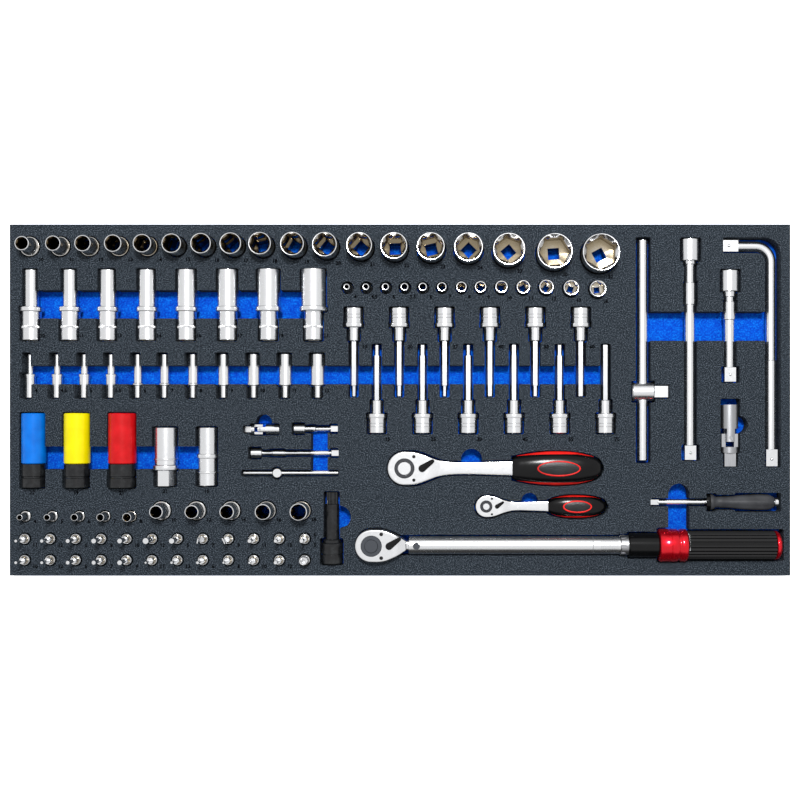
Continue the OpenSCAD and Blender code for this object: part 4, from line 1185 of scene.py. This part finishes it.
@dataclass
class TorqueWrench:
    """The click wrench: pear head, tube, scale, setting handle and lock cap."""

    head: PlateHead
    lever: Lever
    lever_at: float = 20.1
    grip_ribs: int = 24
    groove: float = 1.1
    ends_in: float = 0.6

    def build(self) -> None:
        """Makes the head, lever, neck, ring, ribbed grip and cap, and dresses the nodes that stay."""
        low, high = corners("torque_drive")
        head_low, head_high = corners("torque_head")
        at = np.array([(low[0] + high[0]) / 2, (low[1] + high[1]) / 2, (head_low[2] + head_high[2]) / 2])
        neck = bar(((30, 8, 7), (36, 6, 6), (46, 5, 5), (66, 5, 5)), 4)
        steel = piece(
            "torque_wrench_head", moved(joined([self.head.shell(), neck]), at), "torque_wrench",
            Finish.CHROME,
        )
        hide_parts("torque_head")
        heads = [
            moved(ScrewHeads(2.1).shell(), at + (11.2, side * 13.3, self.head.thickness / 2))
            for side in (1, -1)
        ]
        piece("torque_wrench_screw_heads", joined(heads), "torque_wrench", Finish.BLACK_OXIDE)
        top = self.head.thickness / 2 + 0.4
        lever = piece(
            "torque_wrench_lever_arm", moved(self.lever.shell(), at + np.array([self.lever_at, 0, top])),
            "wrench_lever", Finish.BLACK_ABS,
        )
        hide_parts("torque_lever")
        ring_low, ring_high = corners("torque_ring")
        length, radius = ring_high[0] - ring_low[0], (ring_high[2] - ring_low[2]) / 2
        ring = piece(
            "torque_wrench_ring", moved(self.ring(length, radius), (ring_low[0], at[1], at[2])),
            "wrench_handle", Finish.RED_ANODISED, sharp=50,
        )
        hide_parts("torque_ring")
        cap_low, cap_high = corners("torque_cap")
        grip_end = corners("torque_grip")[1][0]
        cap = piece(
            "torque_wrench_cap",
            moved(self.cap(grip_end - cap_low[0], cap_high[0] - cap_low[0], (cap_high[2] - cap_low[2]) / 2),
                  (cap_low[0], at[1], at[2])),
            "wrench_cap", Finish.RED_ANODISED, sharp=50,
        )
        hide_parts("torque_cap")
        dress("torque_drive", Finish.BUTTON_STEEL)
        dress("torque_button", Finish.BUTTON_STEEL)
        dress("torque_fasteners", Finish.BUTTON_STEEL)
        for node in ("torque_tube", "torque_scale"):
            dress(node, Finish.CHROME)
        dress("torque_index_ring", Finish.GREY_STEEL)
        dress("torque_sleeve", Finish.BLACK_ABS)
        grip_low, grip_high = corners("torque_grip")
        ribs = self.ribs(grip_high[0] - grip_low[0], (grip_high[2] - grip_low[2]) / 2)
        ribbed = piece(
            "torque_wrench_ribbed_grip", moved(ribs, (grip_low[0], at[1], at[2])), "wrench_handle",
            Finish.GLOSSY_ABS, sharp=80,
        )
        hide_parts("torque_grip")

    def ribs(self, length: float, radius: float) -> Shell:
        """The grip's surface over x and angle a, with rounded ribs.

        The radius is R - groove (0.5 - 0.5 cos(grip_ribs a)), and it shrinks by ends_in over the last
        millimetre of each end.
        """
        x = np.concatenate(
            [[0.0, 0.35], np.linspace(1.0, length - 1.0, 40), [length - 0.35, length]]
        )[:, None]
        a = np.linspace(0, 2 * np.pi, 432, endpoint=False)[None, :]
        ends = np.clip(1 - np.minimum(x, length - x), 0, 1) ** 2
        r = radius - self.groove * (0.5 - 0.5 * np.cos(self.grip_ribs * a)) - self.ends_in * ends
        return capped(np.stack([x + 0 * a, r * np.cos(a), r * np.sin(a)], axis=-1))

    def ring(self, length: float, radius: float) -> Shell:
        """The setting ring: two bands with a scored line between, then a hollow neck and a last band."""
        bore = radius - 9.7
        hollow = [(x, radius - 1.5 * math.sin(math.pi * (x - 20) / 5) ** 2) for x in np.linspace(20, 25, 7)]
        outside = [(0, radius - 1.2), (1.2, radius), (12.4, radius), (12.7, radius - 0.8),
                   (13.1, radius - 0.8), (13.4, radius), *hollow, (length - 1.2, radius),
                   (length, radius - 1.2)]
        return turned([*outside, (length, bore), (0, bore)])

    def cap(self, stem: float, length: float, radius: float) -> Shell:
        """The lock cap: a stem inside the handle and a domed disc, whose rim is a quarter ellipse."""
        bend = np.linspace(0, np.pi / 2, 9)
        start = stem + 2.0
        dome = [(start + (length - start) * math.sin(b), radius * (0.55 + 0.45 * math.cos(b))) for b in bend]
        outside = [
            (0, 7.8), (0.5, 8.0), (stem + 0.6, 8.0), (stem + 0.6, radius - 0.5), (stem + 1.1, radius), *dome
        ]
        return turned([*outside, (length, 0.01), (0, 0.01)])


@dataclass
class Spinner:
    """The spinner handle: a plated shaft in a waisted grip with a black flange."""

    profile: tuple[tuple[float, float], ...] = (
        (0, 8.9), (2.5, 9.3), (4.5, 8.6), (6, 7.3), (14, 6.9), (24, 7.4), (38, 8.8), (52, 9.5),
        (62, 9.5), (69, 8.6), (73.4, 6.0),
    )

    def build(self) -> None:
        """Turns the grip and its flange through their profiles, and dresses the shaft."""
        low, high = corners("spinner_grip")
        x = np.linspace(self.profile[0][0], self.profile[-1][0], 80)
        r = np.minimum(through(x, self.profile), (high[2] - low[2]) / 2)
        a = np.linspace(0, 2 * np.pi, 72, endpoint=False)[None, :]
        flat = 1 - 0.035 * (1 + np.cos(6 * a)) * np.clip((x[:, None] - 8) / 20, 0, 1)
        radius = r[:, None] * flat
        points = np.stack([x[:, None] + 0 * a, radius * np.cos(a), radius * np.sin(a)], axis=-1)
        centre = (low + high) / 2
        grip = piece(
            "spinner_handle_grip", moved(capped(points), (low[0], centre[1], centre[2])), "spinner",
            Finish.GREY_PP,
        )
        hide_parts("spinner_grip")
        flange = rounded([(-4.1, 9.55), (1.0, 9.55), (1.0, 3.2), (-4.1, 3.2)], 0.9)
        piece(
            "spinner_handle_flange", moved(turned(flange), (low[0], centre[1], centre[2])), "spinner",
            Finish.BLACK_ABS,
        )
        dress("spinner_shaft", Finish.CHROME)


@dataclass
class Bars:
    """Extensions, sliding bars, bent handle and universal joints: plated, the larger joint bare."""

    plated: tuple[str, ...] = (
        "half_t_bar", "half_t_head", "half_extensions", "l_handle", "quarter_t_bar", "quarter_t_head",
        "quarter_extensions", "quarter_uj_male", "quarter_uj_female",
    )
    bare: tuple[str, ...] = ("half_uj_cross", "quarter_uj_cross", "half_uj_male", "half_uj_female")

    def build(self) -> None:
        """Dresses every bar and joint."""
        for node in self.plated:
            dress(node, Finish.CHROME)
        for node in self.bare:
            dress(node, Finish.GREY_STEEL)


@dataclass
class Studio:
    """Camera above the inlay, a pale floor, a small key light for crisp shadows and a soft dome.

    The key light's place and size are in metres.
    """

    stands_at: tuple[float, float] = (79.0, -34.0)
    height: float = 1120.0
    field: float = 904.0
    face: float = 30.0
    key_power: float = 50.0
    key_stands: tuple[float, float, float] = (0.15, 0.75, 1.9)
    key_size: float = 0.35
    sky: float = 0.95
    room: float = 0.04
    dome_edge: tuple[float, float] = (0.2, 0.55)
    end_reach: float = 0.45
    near_fade: float = 0.47

    def camera(self) -> None:
        """A camera that looks straight down; its shift centres the inlay in the frame."""
        data = bpy.data.cameras.new("camera")
        data.sensor_width = 36.0
        data.lens = 36.0 * self.height / self.field
        data.shift_x = -self.stands_at[0] / self.field
        data.shift_y = -self.stands_at[1] / self.field
        data.clip_start, data.clip_end = 0.05, 20.0
        camera = bpy.data.objects.new("camera", data)
        camera.location = (self.stands_at[0] * MM, self.stands_at[1] * MM, (self.height + self.face) * MM)
        bpy.context.scene.collection.objects.link(camera)
        bpy.context.scene.camera = camera

    def floor(self) -> None:
        """A plain pale floor."""
        half, z = 4000.0, -0.2
        shell = (
            np.array([[-half, -half, z], [half, -half, z], [half, half, z], [-half, half, z]]), [(0, 1, 2, 3)]
        )
        mesh = bpy.data.meshes.new("floor")
        mesh.from_pydata((shell[0] * MM).tolist(), [], shell[1])
        material, tree, _ = new_tree("white_backdrop_paper")
        close_tree(tree, add_node(
            tree, "ShaderNodeBsdfPrincipled",
            {"Base Color": linear("F4F4F4"), "Roughness": 0.9, "Emission Color": (1, 1, 1, 1),
             "Emission Strength": 0.7}
        ))
        mesh.materials.append(material)
        floor = bpy.data.objects.new("floor", mesh)
        floor.visible_glossy = False
        bpy.context.scene.collection.objects.link(floor)

    def lights(self) -> None:
        """A key light high over the far side, under a broad soft dome.

        The dome is bright where z + end_reach |x| + near_fade min(y, 0) is large, so it reaches lowest at
        the inlay's ends, and the near side of the room stays dim.
        """
        data = bpy.data.lights.new("key", "AREA")
        data.shape = "DISK"
        data.size = self.key_size
        data.energy = self.key_power
        key = bpy.data.objects.new("key", data)
        key.location = self.key_stands
        direction = key.location.copy()
        direction.x -= 0.05
        key.rotation_euler = direction.to_track_quat("Z", "Y").to_euler()
        bpy.context.scene.collection.objects.link(key)
        world = bpy.data.worlds.new("sky")
        bpy.context.scene.world = world
        world.use_nodes = True
        tree = world.node_tree
        tree.nodes.clear()
        way = add_node(tree, "ShaderNodeTexCoord").outputs["Generated"]
        parts = add_node(tree, "ShaderNodeSeparateXYZ", {"Vector": way})
        side = add_node(tree, "ShaderNodeMath", {0: parts.outputs["X"]}, operation="ABSOLUTE").outputs[0]
        wide = add_node(
            tree, "ShaderNodeMath", {0: side, 1: self.end_reach, 2: parts.outputs["Z"]},
            operation="MULTIPLY_ADD",
        ).outputs[0]
        near = add_node(
            tree, "ShaderNodeMath", {0: parts.outputs["Y"], 1: 0.0}, operation="MINIMUM"
        ).outputs[0]
        lean = add_node(
            tree, "ShaderNodeMath", {0: near, 1: self.near_fade, 2: wide}, operation="MULTIPLY_ADD"
        ).outputs[0]
        shade = add_node(
            tree, "ShaderNodeMapRange",
            {"Value": lean, "From Min": self.dome_edge[0], "From Max": self.dome_edge[1],
             "To Min": self.room, "To Max": self.sky},
            interpolation_type="SMOOTHSTEP",
        )
        back = add_node(tree, "ShaderNodeBackground", {"Color": (1, 1, 1, 1), "Strength": shade.outputs[0]})
        add_node(tree, "ShaderNodeOutputWorld", {"Surface": back.outputs[0]})

    def build(self) -> None:
        """Sets up the camera, floor, lights and plain colour handling."""
        self.camera()
        self.floor()
        self.lights()
        bpy.context.scene.view_settings.view_transform = "Standard"


HALF = Ratchet(
    name="half",
    head=PlateHead(
        radius=19.2, thickness=15, neck_thickness=9.2, bore=10.86, thin_from=24,
        flank=((0, 19.2), (7, 19.0), (14, 17.9), (22, 15.4), (30, 12.2), (38, 9.4), (46, 7.7)),
    ),
    shank=((34, 9.4, 4.6), (40, 8.9, 5.1), (52, 7.5, 5.0), (75, 7.0, 4.9), (100, 7.8, 5.0), (140, 8.6, 5.0)),
    grip=Grip(
        width=(
            (121.8, 11.6), (124, 13), (130, 14.4), (142, 16.6), (156, 18.3), (170, 19), (184, 18.6),
            (198, 17), (206, 15), (211, 13.8), (215, 12.3), (218, 10.7), (220.4, 8.7), (222.2, 6.2),
            (223.2, 3.8), (223.6, 1),
        ),
        depth=(
            (121.8, 8.4), (125, 9.6), (135, 11.4), (150, 12.9), (170, 13.5), (190, 13.2), (205, 12.2),
            (214, 10.4), (219, 8.2), (222.2, 5), (223.6, 1),
        ),
        oval_at=173.8, oval_long=23.6, oval_wide=8.0,
    ),
    lever=Lever(boss=4.1, reach=14.2, height=2.5),
    lever_at=20,
    screws=ScrewHeads(1.9),
    screws_at=(10.6, 13.2),
)
QUARTER = Ratchet(
    name="quarter",
    head=PlateHead(
        radius=12.5, thickness=11, neck_thickness=7.4, bore=6.46, thin_from=16, edge=1.2,
        flank=((0, 12.5), (5, 12.3), (10, 11.2), (16, 9.0), (21, 7.1), (26, 5.8), (31, 4.9)),
    ),
    shank=((22, 6.2, 3.7), (27, 5.8, 4.0), (35, 5.1, 4.0), (52, 5.5, 4.0), (80, 6.5, 4.0)),
    grip=Grip(
        width=((70.3, 6.6), (72, 7.6), (77, 9.6), (85, 11.7), (94, 12.8), (103, 13), (113, 12.5), (122, 11.1),
               (127, 9.6), (131, 7.8), (133.8, 5.8), (135.6, 3.7), (136.6, 0.8)),
        depth=((70.3, 5.4), (73, 6.4), (80, 8), (90, 9.2), (103, 9.5), (116, 9.1), (125, 7.9), (131, 5.9),
               (134.8, 3.6), (136.6, 0.7)),
        oval_at=103, oval_long=15.6, oval_wide=6.3,
    ),
    lever=Lever(boss=2.4, reach=8.2, height=1.5),
    lever_at=12.2,
    screws=ScrewHeads(1.3, 0.4),
    screws_at=(6.4, 8.8),
)
WRENCH = TorqueWrench(
    head=PlateHead(
        radius=18.4, thickness=22, neck_thickness=15, bore=11.36, thin_from=26,
        flank=((0, 18.4), (8, 18.4), (15, 17.4), (24, 13.9), (32, 9.8), (38.6, 5.4)),
    ),
    lever=Lever(boss=4.0, reach=13.8, height=2.4),
)


def main() -> None:
    """Builds the set around the frame."""
    logging.basicConfig(level=logging.INFO, format="%(message)s")
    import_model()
    Studio().build()
    for assembly in (Inlay(), SocketRows(), HALF, QUARTER, WRENCH, Spinner(), Bars()):
        assembly.build()


if __name__ == "__main__":
    main()
